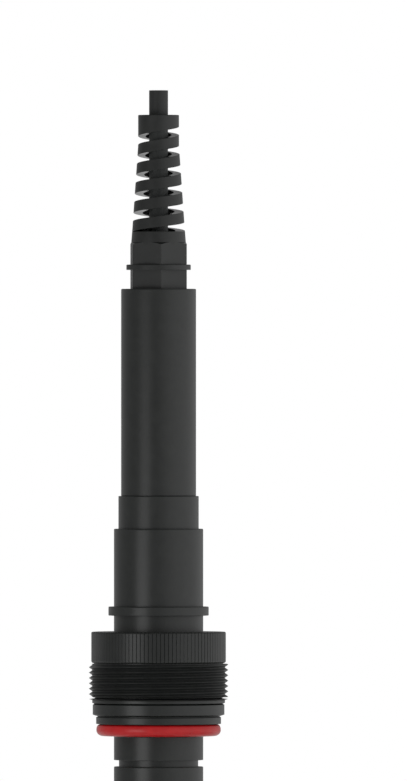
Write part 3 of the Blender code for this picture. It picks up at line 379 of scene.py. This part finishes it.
def ion_membrane():
    """The thin cast PVC film that the ions pass: yellowish, wet-looking and slightly see-through."""
    made, tree, shader, mm = material("cast_pvc_membrane", 1.53)
    shader.inputs["Transmission Weight"].default_value = 0.15
    cast = add(tree, "ShaderNodeTexNoise", {"Vector": mm, "Scale": 0.7, "Detail": 3.0})
    dress(tree, shader, cast.outputs["Fac"], ("#b8a878", "#cbbd8e"), (0.08, 0.18),
          cast.outputs["Fac"], depth_mm=0.03, strength=0.3)
    return made


def matt_paper():
    """Uncoated white paper: dead matt, with a soft cloudiness about 5 mm wide from its fibres."""
    made, tree, shader, mm = material("matt_white_paper", 1.5)
    fibre = add(tree, "ShaderNodeTexNoise", {"Vector": mm, "Scale": 0.2, "Detail": 6.0})
    dress(tree, shader, fibre.outputs["Fac"], ("#e2e2e0", "#e8e8e6"), (0.85, 0.95),
          fibre.outputs["Fac"], depth_mm=0.05, strength=0.2)
    return made


def rounded(profile):
    """(radius, height, round) points as plain points, with an arc of that size at each corner that has one.

    A point just beyond each end of an arc keeps its smooth shading off the long faces next to it.
    """
    points = []
    for i, (r, z, *size) in enumerate(profile):
        if not size:
            points.append((r, z))
            continue
        before, after = profile[i - 1], profile[(i + 1) % len(profile)]
        ends = []
        guards = []
        for other in (before, after):
            dr, dz = other[0] - r, other[1] - z
            length = math.hypot(dr, dz)
            reach = min(size[0], 0.48 * length)
            ends.append((r + dr / length * reach, z + dz / length * reach))
            guard = reach + 0.1
            roomy = guard < 0.45 * length
            guards.append([(r + dr / length * guard, z + dz / length * guard)] if roomy else [])
        points.extend(guards[0])
        for step in range(CORNER_STEPS + 1):
            t = step / CORNER_STEPS
            points.append(tuple((1 - t) ** 2 * a + 2 * t * (1 - t) * c + t * t * b
                                for a, b, c in zip(ends[0], ends[1], (r, z))))
        points.extend(guards[1])
    return points


def ring(bm, radius, z, steps, centre=(0.0, 0.0)):
    """A level ring of points round a centre."""
    turns = [2 * math.pi * i / steps for i in range(steps)]
    return [bm.verts.new((centre[0] + radius * math.cos(turn), centre[1] + radius * math.sin(turn), z))
            for turn in turns]


def walls(bm, rings):
    """Faces between each ring of points and the next, down to triangles where a ring is one point."""
    for a, b in zip(rings, rings[1:]):
        for i in range(len(a)):
            j = (i + 1) % len(a)
            corners = list(dict.fromkeys((a[i], a[j], b[j], b[i])))
            if len(corners) > 2:
                bm.faces.new(corners)


def spin(bm, profile, steps=ROUND_STEPS, centre=(0.0, 0.0)):
    """Spins a closed profile, or one that starts and ends on the axis, round +Z."""
    rings = []
    for r, z in rounded(profile):
        if r < ON_AXIS:
            rings.append([bm.verts.new((*centre, z))] * steps)
        else:
            rings.append(ring(bm, r, z, steps, centre))
    if profile[0][0] > ON_AXIS:
        rings.append(rings[0])
    walls(bm, rings)


def settle(bm, name):
    """Joins what meets, turns the faces outward and scales the mesh to metres."""
    bmesh.ops.remove_doubles(bm, verts=bm.verts, dist=0.002)
    bmesh.ops.dissolve_degenerate(bm, edges=bm.edges, dist=0.0005)
    bmesh.ops.recalc_face_normals(bm, faces=bm.faces)
    bmesh.ops.scale(bm, vec=(MM, MM, MM), verts=bm.verts)
    mesh = bpy.data.meshes.new(name)
    bm.to_mesh(mesh)
    bm.free()
    return mesh


def show(name, bm, look, body, node):
    """Puts a piece in the scene on its body, in place of the CAD node that it stands for."""
    mesh = settle(bm, name)
    piece = bpy.data.objects.new(name, mesh)
    bpy.context.scene.collection.objects.link(piece)
    mesh.materials.append(look)
    mesh.shade_smooth()
    mesh.set_sharp_from_angle(angle=SHARP_ANGLE)
    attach(piece, body)
    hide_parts(node)
    return piece


def turned_piece(name, profile, look, body, node, steps=ROUND_STEPS, centre=(0.0, 0.0)):
    """A piece that is one spun profile."""
    bm = bmesh.new()
    spin(bm, profile, steps, centre)
    return show(name, bm, look, body, node)


def thread(bm, crest, root, low, high, start=0.0, steps=ROUND_STEPS):
    """The skin of a right-hand 60 degree thread, cut flat at both ends and closed onto its core."""
    middle = THREAD_PITCH / 2
    tooth = [(0.0, root), (0.06, root + 0.02), (middle - 0.1, crest - 0.1), (middle - 0.04, crest - 0.01),
             (middle, crest), (middle + 0.04, crest - 0.01), (middle + 0.1, crest - 0.1),
             (THREAD_PITCH - 0.06, root + 0.02)]
    turns = math.ceil((high - low) / THREAD_PITCH) + 2
    rows = [(low - THREAD_PITCH * (2 - turn) + z + start, r) for turn in range(turns + 1) for z, r in tooth]
    radii = [r for z, r in rows]
    columns = []
    for i in range(steps + 1):
        angle = 2 * math.pi * i / steps
        climbed = [z + THREAD_PITCH * i / steps for z, r in rows]
        cut_at = [min(max(z, low), high) for z in climbed]
        points = [(root, low), *zip(np.interp(cut_at, climbed, radii), cut_at), (root, high)]
        columns.append([bm.verts.new((r * math.cos(angle), r * math.sin(angle), z)) for r, z in points])
    for a, b in zip(columns, columns[1:]):
        for k in range(len(a) - 1):
            bm.faces.new((a[k], b[k], b[k + 1], a[k + 1]))


def knurl(bm, crest, depth, low, high, round_low, round_high, top_r):
    """A straight knurl of narrow V grooves with rounded ends, closed above by a flat face down to top_r.

    Each groove takes a quarter of its tooth. Inside top_r a countersink 0.6 mm deep leads to the nut's bore.
    """
    per_tooth = 8
    groove_share = 0.25
    arc_steps = 5
    steps = KNURL_TEETH * per_tooth
    levels = []
    for k in range(arc_steps + 1):
        turn = math.pi / 2 * k / arc_steps
        levels.append((low + round_low * (1 - math.cos(turn)), round_low * (1 - math.sin(turn))))
    levels.extend(((low + round_low + 0.1, 0.0), (high - round_high - 0.1, 0.0)))
    for k in range(arc_steps + 1):
        turn = math.pi / 2 * (arc_steps - k) / arc_steps
        levels.append((high - round_high * (1 - math.cos(turn)), round_high * (1 - math.sin(turn))))
    rings = []
    for z, inset in levels:
        row = []
        for i in range(steps):
            phase = (i % per_tooth) / per_tooth
            away = 2 * min(phase, 1 - phase)
            dip = max((away - 1 + groove_share) / groove_share, 0.0)
            r = crest - depth * dip - inset
            angle = 2 * math.pi * i / steps
            row.append(bm.verts.new((r * math.cos(angle), r * math.sin(angle), z)))
        rings.append(row)
    rings.append(ring(bm, top_r, high, steps))
    rings.append(ring(bm, NUT_BORE_R, high - 0.6, steps))
    walls(bm, rings)


def spanner_flats(bm, low, high, coned, bore_r):
    """A hexagon with its corners just broken, and its top turned to a 30 degree cone where that is asked."""
    steps = 288
    apothem = GLAND_AF / 2
    corner = GLAND_AF / math.sqrt(3.0)
    rings = [[], [], [], [], []]
    for i in range(steps):
        turn = 2 * math.pi * i / steps
        off = turn % (math.pi / 3)
        side = min(apothem / math.cos(min(off, math.pi / 3 - off)), corner - 0.05)
        top = min(side, apothem + 0.1) if coned else side
        cone = high - (side - top) * math.tan(math.radians(30))
        angle = turn + HEX_TURN
        for row, (r, z) in zip(rings, [(bore_r, low), (side, low), (side, cone), (top, high), (bore_r, high)]):
            row.append(bm.verts.new((r * math.cos(angle), r * math.sin(angle), z)))
    walls(bm, rings + rings[:1])


def relief_share(z):
    """How far down the bend protector's cone a height is: 0 where it starts, 1 at the shelf."""
    return max(RELIEF_STRAIGHT - z, 0.0) / (RELIEF_STRAIGHT - SHELF)


def relief_radius(z):
    """The outside of the bend protector: straight at its top, then a cone down to the shelf."""
    return RELIEF_R + (RELIEF_FOOT_R - RELIEF_R) * relief_share(z)


def relief_bore(z):
    """The inside of the bend protector, which widens downward with the outside."""
    return RELIEF_BORE_R + (RELIEF_FOOT_BORE_R - RELIEF_BORE_R) * relief_share(z)


def spiral_relief(bm):
    """The bend protector: one wall, cut by a slot that climbs round it five times, with softened edges."""
    steps = 120
    climbs = 5
    first, last = -steps // 2, climbs * steps + steps // 4
    soft = 0.06
    top_soft = 0.15
    wall_steps = 6
    hair = 1e-6
    half = SLOT_HEIGHT / 2

    def edges_at(column, turn):
        """The slot's lower and upper edge at a column, both no lower than the shelf."""
        centre = SLOT_FIRST + SLOT_PITCH * (column / steps + turn)
        return max(centre - half, SHELF), max(centre + half, SHELF)

    def vert(column, r, z):
        angle = 2 * math.pi * column / steps
        return bm.verts.new((r * math.cos(angle), r * math.sin(angle), z))

    def section(column, low, high):
        """The points round one stretch of wall at one column, from its low edge to its high edge."""
        cut_back = min(soft, (high - low) / 3)
        foot = 0.0 if low <= SHELF + hair else cut_back
        head = top_soft if high >= RELIEF_TOP - hair else cut_back
        points = [(relief_bore(low), low), (relief_radius(low) - foot, low)]
        for k in range(wall_steps + 1):
            z = low + foot + (high - head - low - foot) * k / wall_steps
            points.append((relief_radius(z), z))
        points.extend(((relief_radius(high) - head, high), (relief_bore(high), high)))
        return [vert(column, r, z) for r, z in points]

    for i in range(steps):
        gaps = []
        for turn in range(-1, climbs + 1):
            if first <= i + turn * steps < last:
                here, there = edges_at(i, turn), edges_at(i + 1, turn)
                if here[1] > SHELF + hair or there[1] > SHELF + hair:
                    gaps.append((here, there))
        starts = [(SHELF, SHELF)] + [(here[1], there[1]) for here, there in gaps]
        ends = [(here[0], there[0]) for here, there in gaps] + [(RELIEF_TOP, RELIEF_TOP)]
        for (low_a, low_b), (high_a, high_b) in zip(starts, ends):
            if high_a - low_a < hair and high_b - low_b < hair:
                continue
            walls(bm, [section(i, low_a, max(high_a, low_a)), section(i + 1, low_b, max(high_b, low_b))])
    low, high = edges_at(last - climbs * steps, climbs)
    slot_end = ((relief_bore(low), low), (relief_radius(low), low), (relief_radius(high), high),
                (relief_bore(high), high))
    bm.faces.new([vert(last, r, z) for r, z in slot_end])


def housings(acetal):
    """The main housing, with its neck, barrel, band and step, and the rear tube on its spigot."""
    groove_r = BARREL_R - 0.7
    ledge_r = STEP_R - 0.4
    turned_piece("neck_barrel_and_flange", [
        (SPIGOT_BORE_R, SPIGOT_TOP), (SPIGOT_R, SPIGOT_TOP, 0.3), (SPIGOT_R, NECK_TOP - TOUCH),
        (NECK_R, NECK_TOP - TOUCH, 0.2), (NECK_R, NECK_BASE), (BARREL_R, NECK_BASE, 0.3),
        (BARREL_R, RING_HIGH + TOUCH), (groove_r, RING_HIGH + TOUCH),
        (groove_r, RING_LOW - TOUCH), (BARREL_R, RING_LOW - TOUCH),
        (BARREL_R, SEAM_Z - TOUCH), (SEAM_R, SEAM_Z - TOUCH), (BAND_R, SEAM_Z - 0.27, 0.05),
        (BAND_R, STEP_TOP + 0.5, 0.05), (ledge_r, STEP_TOP + 0.05), (ledge_r, STEP_TOP - 0.05),
        (STEP_R, STEP_TOP - 0.25, 0.05), (STEP_R, STEP_BASE, 0.15), (13.6, STEP_BASE), (13.6, -2.6),
        (BARREL_R, -3.5), (BARREL_R, RIM, 0.12), (HOUSING_BORE_R, RIM), (HOUSING_BORE_R, 6.0),
        (SPIGOT_BORE_R, 9.0)], acetal, "probe", "main_housing")
    turned_piece("rear_tube", [
        (7.3, REAR_TOP), (REAR_R, REAR_TOP, 0.35), (REAR_R, NECK_TOP, 0.15), (REAR_BORE_R, NECK_TOP),
        (REAR_BORE_R, 116.0), (6.3, 116.0), (6.3, REAR_TOP - 1.3), (7.3, REAR_TOP - 1.3)],
        acetal, "probe", "rear_housing")


def clamp_ring(acetal):
    """The snap ring: a turned ring with a gap at the back, its ends square."""
    bm = bmesh.new()
    corners = rounded([(RING_BORE_R, RING_HIGH), (RING_R, RING_HIGH, 0.2), (RING_R, RING_LOW, 0.2),
                       (RING_BORE_R, RING_LOW)])
    half_gap = math.asin(RING_GAP / 2 / RING_R)
    start, stop = math.pi / 2 + half_gap, math.pi / 2 - half_gap + 2 * math.pi
    sections = []
    for i in range(ROUND_STEPS + 1):
        angle = start + (stop - start) * i / ROUND_STEPS
        sections.append([bm.verts.new((r * math.cos(angle), r * math.sin(angle), z)) for r, z in corners])
    walls(bm, sections)
    bm.faces.new(sections[0])
    bm.faces.new(sections[-1])
    show("snap_ring", bm, acetal, "probe", "retaining_ring")


def clamp_nut(acetal, shaded_nut_acetal):
    """The thin washer, and the nut with its knurl above and its thread and lip below."""
    turned_piece("thin_washer", [
        (NUT_BORE_R, NUT_BASE - TOUCH), (18.6, NUT_BASE - TOUCH, 0.1), (18.6, SEAM_Z + 0.25, 0.05),
        (SEAM_R, SEAM_Z), (NUT_BORE_R, SEAM_Z)], acetal, "thrust_washer", "thrust_washer")
    bm = bmesh.new()
    thread(bm, THREAD_R, THREAD_ROOT_R, THREAD_BASE, THREAD_TOP, start=-0.7)
    knurl(bm, KNURL_R, depth=0.14, low=KNURL_BASE, high=NUT_TOP, round_low=0.6, round_high=0.4, top_r=13.4)
    spin(bm, [(NUT_BORE_R, NUT_BASE), (18.7, NUT_BASE), (19.45, NUT_LIP), (17.6, NUT_LIP + 0.3),
              (THREAD_ROOT_R, THREAD_BASE), (THREAD_ROOT_R, THREAD_TOP), (18.1, THREAD_TOP),
              (18.1, KNURL_BASE), (18.3, KNURL_BASE), (17.6, 19.0), (NUT_BORE_R, 25.35)])
    # The nut wears the acetal copy that is painted darker: painted shade for its thread and knurl
    show("knurled_nut", bm, shaded_nut_acetal, "lock_nut", "lock_nut")


def seat_ring(silicone):
    """The red ring under the step, its round section squeezed a little square where it meets the step."""
    steps = 40
    middle = STEP_BASE - TOUCH - 1.75
    section = []
    for k in range(steps):
        across, up = math.cos(2 * math.pi * k / steps), math.sin(2 * math.pi * k / steps)
        squeeze, half = (0.7, 1.75) if up > 0 else (1.0, 1.6)
        section.append((SEAT_RING_R + SEAT_RING_HALF * math.copysign(abs(across) ** squeeze, across),
                        middle + half * math.copysign(abs(up) ** squeeze, up)))
    turned_piece("red_seat_ring", section, silicone, "probe", "seat_oring")


def gland(nylon):
    """The gland's lower part, with its flange and threaded neck, and the nut with its bend protector."""
    neck_steps = 96
    bm = bmesh.new()
    spanner_flats(bm, REAR_TOP + TOUCH, FLANGE_LOW + 0.5, coned=False, bore_r=4.9)
    spin(bm, [(GLAND_BORE_R, FLANGE_LOW), (FLANGE_R, FLANGE_LOW, 0.12), (FLANGE_R, FLANGE_HIGH, 0.25),
              (GLAND_BORE_R, FLANGE_HIGH)])
    thread(bm, GLAND_THREAD_R, GLAND_NECK_R, FLANGE_HIGH, GLAND_NECK_TOP - 0.4, steps=neck_steps)
    spin(bm, [(GLAND_BORE_R, GLAND_NECK_TOP), (GLAND_NECK_R, GLAND_NECK_TOP),
              (GLAND_NECK_R, GLAND_SPIGOT_BASE), (GLAND_BORE_R, GLAND_SPIGOT_BASE)], neck_steps)
    show("gland_lower_part", bm, nylon, "probe", "gland_body")

    bm = bmesh.new()
    spanner_flats(bm, FLANGE_HIGH + TOUCH, CAP_HEX_TOP, coned=True, bore_r=CAP_BORE_R)
    spin(bm, [(CAP_BORE_R, CAP_HEX_TOP - 0.6), (7.65, CAP_HEX_TOP - 0.6), (7.65, CAP_HEX_TOP), (7.42, SHELF, 0.12),
              (RELIEF_FOOT_BORE_R, SHELF), (RELIEF_BORE_R, 137.9), (CAP_BORE_R, 134.6)])
    spiral_relief(bm)
    show("spiral_gland_nut", bm, nylon, "gland_nut", "gland_nut")


def cable(sheath):
    """The outer sheath, cut flat above, down to where it ends in the epoxy."""
    turned_piece("cable_outer_sheath", [
        (SHEATH_BORE_R, CABLE_TOP), (CABLE_R, CABLE_TOP, 0.1), (CABLE_R, CABLE_BASE),
        (SHEATH_BORE_R, CABLE_BASE)], sheath, "probe", "cable_jacket")


def cores():
    """The four cores, cut flat with the cable, and fanned out inside the housing to the plug on the board."""
    steps = 32
    fan_steps = 16
    for shade, dark, light, x, y, end_x in (
            ("red", "#a01c1c", "#b32222", -CORE_AT, -CORE_AT, -2.7),
            ("black", "#1c1c1c", "#282828", -CORE_AT, CORE_AT, -0.9),
            ("green", "#1f7a35", "#278a40", CORE_AT, CORE_AT, 0.9),
            ("white", "#dadad6", "#e6e6e2", CORE_AT, -CORE_AT, 2.7)):
        path = [(x, y, CABLE_TOP), (x, y, CABLE_BASE)]
        for k in range(1, fan_steps + 1):
            done = 2 * k / fan_steps
            across, back = min(done, 1.0), max(done - 1.0, 0.0)
            path.append((x + (end_x - x) * across * across * (3 - 2 * across),
                         y + (PLUG_Y - y) * back * back * (3 - 2 * back),
                         CABLE_BASE + (PLUG_TOP + 2 * CORE_R - CABLE_BASE) * k / fan_steps))
        path.append((end_x, PLUG_Y, PLUG_TOP))
        bm = bmesh.new()
        rings = [ring(bm, CORE_R, pz, steps, (px, py)) for px, py, pz in path]
        walls(bm, rings)
        bm.faces.new(rings[0])
        bm.faces.new(rings[-1])
        show("round_core_" + shade, bm, cored_insulation(shade, dark, light, (x, y)), "probe",
             "core_" + shade)


def bore(piece, holes, low, high):
    """Bores upright holes, each (x, y, radius), into a piece's mesh between two levels."""
    for x, y, radius in holes:
        bm = bmesh.new()
        spin(bm, [(0.0, high), (radius, high), (radius, low), (0.0, low)], SMALL_STEPS, (x, y))
        drill = bpy.data.objects.new("drill", settle(bm, "drill"))
        bpy.context.scene.collection.objects.link(drill)
        step = piece.modifiers.new("bore", "BOOLEAN")
        step.object = drill
        bpy.context.view_layer.update()
        bored = bpy.data.meshes.new_from_object(piece.evaluated_get(bpy.context.evaluated_depsgraph_get()))
        piece.modifiers.clear()
        piece.data = bored
        bpy.data.objects.remove(drill)
    piece.data.set_sharp_from_angle(angle=SHARP_ANGLE)


def measuring_head(acetal, plastic, membrane, ceramic, steel):
    """The cup on the housing's lower end, and the electrode, reference and thermometer in its flat face."""
    head = turned_piece("head_cup", [
        (0.0, CUP_FLOOR), (9.5, CUP_FLOOR), (9.5, -16.15), (7.0, -13.65), (7.0, 5.35), (9.2, 5.35, 0.3), (9.2, -6.05),
        (7.9, -6.05), (7.9, -8.15), (9.2, -8.15), (9.2, RIM - TOUCH), (11.1, RIM - TOUCH), (11.1, -11.8),
        (BARREL_R, -11.8, 0.25), (BARREL_R, SENSING_FACE, 1.0), (0.0, SENSING_FACE)],
        acetal, "probe", "head_body")
    bore(head, [(*ELECTRODE_AT, 4.3), (*REFERENCE_AT, 3.3), (*THERMOMETER_AT, 2.3)],
         low=SENSING_FACE - 1.0, high=CUP_FLOOR + 1.0)
    dome = []
    for k in range(12):
        turn = math.pi / 2 * k / 12
        dome.append((SHEATH_R * math.cos(turn), SHEATH_TIP + SHEATH_R - SHEATH_R * math.sin(turn)))
    for name, centre, look, slot, node, profile in (
            ("electrode_window_ring", ELECTRODE_AT, plastic, "electrode_plastic", "membrane_ring", [
                (2.5, -74.65), (4.0, -74.65), (4.0, -75.85, 0.2), (2.5, -75.85, 0.4)]),
            ("cast_film", ELECTRODE_AT, membrane, "pvc_membrane", "ion_membrane", [
                (0.0, -73.85), (3.7, -73.85), (3.7, -74.35), (2.4, -74.35), (1.6, -74.44), (0.8, -74.49),
                (0.0, -74.5)]),
            ("porous_plug", REFERENCE_AT, ceramic, "porous_ceramic", "reference_junction", [
                (0.0, -72.0), (1.9, -72.0), (1.9, -75.85, 0.15), (0.0, -75.85)]),
            ("reference_sleeve", REFERENCE_AT, plastic, "electrode_plastic", "reference_tube", [
                (2.2, -33.7), (3.0, -33.7), (3.0, SENSING_FACE, 0.2), (2.2, SENSING_FACE, 0.1)]),
            ("steel_finger", THERMOMETER_AT, steel, "stainless_steel", "temperature_sheath", [
                (0.0, SHEATH_TIP + SHEATH_R), (1.6, SHEATH_TIP + SHEATH_R), (1.6, SHEATH_TOP),
                (SHEATH_R, SHEATH_TOP), *dome, (0.0, SHEATH_TIP)])):
        turned_piece(name, profile, look, "probe", node, SMALL_STEPS, centre)


def hidden_pieces(looks):
    """The CAD nodes that stay as they are, each with the material of the real piece."""
    for look, names in looks:
        for name in names:
            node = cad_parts[name]
            node.data.materials.clear()
            node.data.materials.append(look)


def camera():
    """A level camera, so far off that the sensor shows almost no perspective, framed as the photograph is."""
    distance = 4800.0
    to_middle = (FRAME_WIDTH / 2 - AXIS_COLUMN) / PIXELS_PER_MM
    above_seat = (SEAT_ROW - FRAME_HEIGHT / 2) / PIXELS_PER_MM
    data = bpy.data.cameras.new("long_lens")
    data.sensor_width = 36.0
    data.lens = data.sensor_width * distance * PIXELS_PER_MM / FRAME_HEIGHT
    data.clip_end = 20.0
    eye = bpy.data.objects.new("long_lens", data)
    eye.location = (to_middle * MM, -distance * MM, above_seat * MM)
    eye.rotation_euler = (math.pi / 2, 0.0, 0.0)
    bpy.context.scene.collection.objects.link(eye)
    bpy.context.scene.camera = eye


def soft_box(name, azimuth, distance, low, high, width, radiance):
    """An upright soft box, in metres, that faces the axis; azimuth 0 is in front, and it grows to the right."""
    data = bpy.data.lights.new(name, "AREA")
    data.shape = "RECTANGLE"
    data.size = width
    data.size_y = high - low
    data.energy = radiance * math.pi * width * (high - low)
    box = bpy.data.objects.new(name, data)
    angle = math.radians(azimuth)
    box.location = (distance * math.sin(angle), -distance * math.cos(angle), (low + high) / 2)
    box.rotation_euler = (math.pi / 2, 0.0, angle)
    box.visible_camera = False
    bpy.context.scene.collection.objects.link(box)


def table_top():
    """A pale round table top, 0.6 m across, just under the sensor's tip."""
    bm = bmesh.new()
    bmesh.ops.create_circle(bm, cap_ends=True, segments=128, radius=0.3)
    mesh = bpy.data.meshes.new("table_top")
    bm.to_mesh(mesh)
    bm.free()
    mesh.materials.append(matt_paper())
    floor = bpy.data.objects.new("table_top", mesh)
    floor.location.z = cad_low.z - 0.3 * MM
    bpy.context.scene.collection.objects.link(floor)


def surroundings():
    """Plain white to the camera and through glass, soft light for matt faces, and a room for glossy ones.

    The soft light is weaker from the left. The room has a bright wall on the right and a dimmer backdrop,
    and little light straight above and below.
    """
    world = bpy.data.worlds.new("studio")
    bpy.context.scene.world = world
    world.use_nodes = True
    tree = world.node_tree
    tree.nodes.clear()
    white = colour("#ffffff")
    path = add(tree, "ShaderNodeLightPath")
    place = add(tree, "ShaderNodeTexCoord")
    ray = place.outputs["Generated"]
    to_right = add(tree, "ShaderNodeVectorMath", {0: ray, 1: (0.96, -0.27, 0.0)}, operation="DOT_PRODUCT")
    wall = add(tree, "ShaderNodeMapRange", {"Value": to_right.outputs["Value"], "From Min": 0.15,
                                            "To Max": 0.66})
    to_back = add(tree, "ShaderNodeVectorMath", {0: ray, 1: (0.0, 1.0, 0.0)}, operation="DOT_PRODUCT")
    backdrop = add(tree, "ShaderNodeMapRange", {"Value": to_back.outputs["Value"], "To Min": 0.29,
                                                "To Max": 0.4})
    around = add(tree, "ShaderNodeMath", {0: wall.outputs["Result"], 1: backdrop.outputs["Result"]},
                 operation="ADD")
    axes = add(tree, "ShaderNodeSeparateXYZ", {"Vector": ray})
    height = add(tree, "ShaderNodeMapRange", {"Value": axes.outputs["Z"], "From Min": -1.0})
    share = add(tree, "ShaderNodeFloatCurve", {"Value": height.outputs["Result"]})
    curve = share.mapping.curves[0]
    for point, (up, part) in zip(curve.points, (MIRRORED[0], MIRRORED[-1])):
        point.location = ((up + 1) / 2, part)
    for up, part in MIRRORED[1:-1]:
        curve.points.new((up + 1) / 2, part)
    share.mapping.update()
    shaded = add(tree, "ShaderNodeMath", {0: around.outputs["Value"], 1: share.outputs["Value"]},
                 operation="MULTIPLY")
    brighter = add(tree, "ShaderNodeMath", {0: shaded.outputs["Value"], 1: 1.5}, operation="MULTIPLY")
    side = add(tree, "ShaderNodeMapRange", {"Value": to_right.outputs["Value"], "From Min": -1.0,
                                            "To Min": 0.68, "To Max": 0.98})
    even = add(tree, "ShaderNodeBackground", {"Color": white, "Strength": side.outputs["Result"]})
    mirrored = add(tree, "ShaderNodeBackground", {"Color": white, "Strength": brighter.outputs["Value"]})
    plain = add(tree, "ShaderNodeBackground", {"Color": white, "Strength": 1.0})
    seen = add(tree, "ShaderNodeMath", {0: path.outputs["Is Camera Ray"], 1: path.outputs["Is Transmission Ray"]},
               operation="MAXIMUM")
    room = add(tree, "ShaderNodeMixShader", {0: path.outputs["Is Glossy Ray"], 1: even.outputs["Background"],
                                             2: mirrored.outputs["Background"]})
    sky = add(tree, "ShaderNodeMixShader", {0: seen.outputs["Value"], 1: room.outputs["Shader"],
                                            2: plain.outputs["Background"]})
    add(tree, "ShaderNodeOutputWorld", {"Surface": sky.outputs["Shader"]})


def dress_sensor():
    """Makes the materials, the pieces that replace CAD nodes, and the looks of the nodes that stay."""
    # The rod of the housings, and a copy for the nut that is painted a little darker, as painted shade on its deep
    # thread and knurl, and is a little duller
    acetal = turned_acetal("turned_black_acetal", ("#1b1d1c", "#212322"), roughness=0.33)
    shaded_nut_acetal = turned_acetal("turned_black_acetal_painted_darker", ("#181a19", "#1d1f1e"), roughness=0.35)
    nylon = moulded_nylon()
    # Extruded tube: light grey, with an even low sheen
    tube = plain_plastic("extruded_grey_pvc", 1.53, ("#b4b4b0", "#c2c2be"), roughness=0.35, grain_mm=0.3)
    # Stainless steel drawn to a tube: bright, with close lines
    steel = worked_metal("drawn_stainless_steel", ("#a9a9a8", "#c4c4c3"), roughness=0.24, line_mm=0.3)
    # Aluminium pressed to a can: paler and less sharp, with wider lines
    aluminium = worked_metal("deep_drawn_aluminium", ("#b8b8bb", "#d0d0d3"), roughness=0.3, line_mm=0.6)
    # Silver wire with a skin of its chloride: greyish brown and dull
    silver = worked_metal("chlorided_silver_wire", ("#8f8a86", "#c9c6c2"), roughness=0.35, line_mm=0.5)
    # Filled resin moulded round the chips: near black and matt
    resin = plain_plastic("moulded_chip_resin", 1.55, ("#1b1b1d", "#252528"), roughness=0.5, grain_mm=0.12)
    # Moulded nylon without colour: ivory, with a soft sheen
    clip = plain_plastic("natural_nylon", 1.53, ("#cfc9b8", "#ddd8c9"), roughness=0.45, grain_mm=0.25)
    # Insulation extruded on the leads: white and satin
    lead = plain_plastic("white_lead_insulation", 1.53, ("#dadad6", "#e6e6e2"), roughness=0.4, grain_mm=0.2)
    # Glaze fired on the bead: dark brown and shiny
    bead = plain_plastic("glazed_thermistor_bead", 1.6, ("#3a2418", "#4c3020"), roughness=0.25, grain_mm=0.4)
    housings(acetal)
    clamp_ring(acetal)
    clamp_nut(acetal, shaded_nut_acetal)
    seat_ring(red_silicone())
    gland(nylon)
    cable(cable_sheath())
    cores()
    measuring_head(acetal, tube, ion_membrane(), sintered_ceramic(), steel)
    hidden_pieces([
        (nylon, ["gland_claw"]),
        (nitrile_rubber(), ["gland_oring", "gland_seal", "head_oring", "rear_oring"]),
        (potting_epoxy(), ["bulkhead_potting", "cable_potting"]),
        (resin, ["amplifier", "power_module", "processor", "transceiver"]),
        (tube, ["electrode_plug", "electrode_tube", "reference_plug"]),
        (copper_braid(), ["cable_shield"]),
        (circuit_board(), ["circuit_board"]),
        (aluminium, ["smoothing_capacitor"]),
        (silver, ["electrode_wire", "reference_wire"]),
        (clip, ["board_clip", "cable_plug"]),
        (lead, ["electrode_lead", "reference_lead", "thermistor_lead_1", "thermistor_lead_2"]),
        (bead, ["thermistor"]),
    ])


dress_sensor()
camera()
table_top()
surroundings()
soft_box("front_left_soft_box", azimuth=-41.5, distance=0.5, low=-0.5, high=0.055, width=0.27, radiance=2.08)
bpy.context.scene.view_settings.view_transform = "Standard"
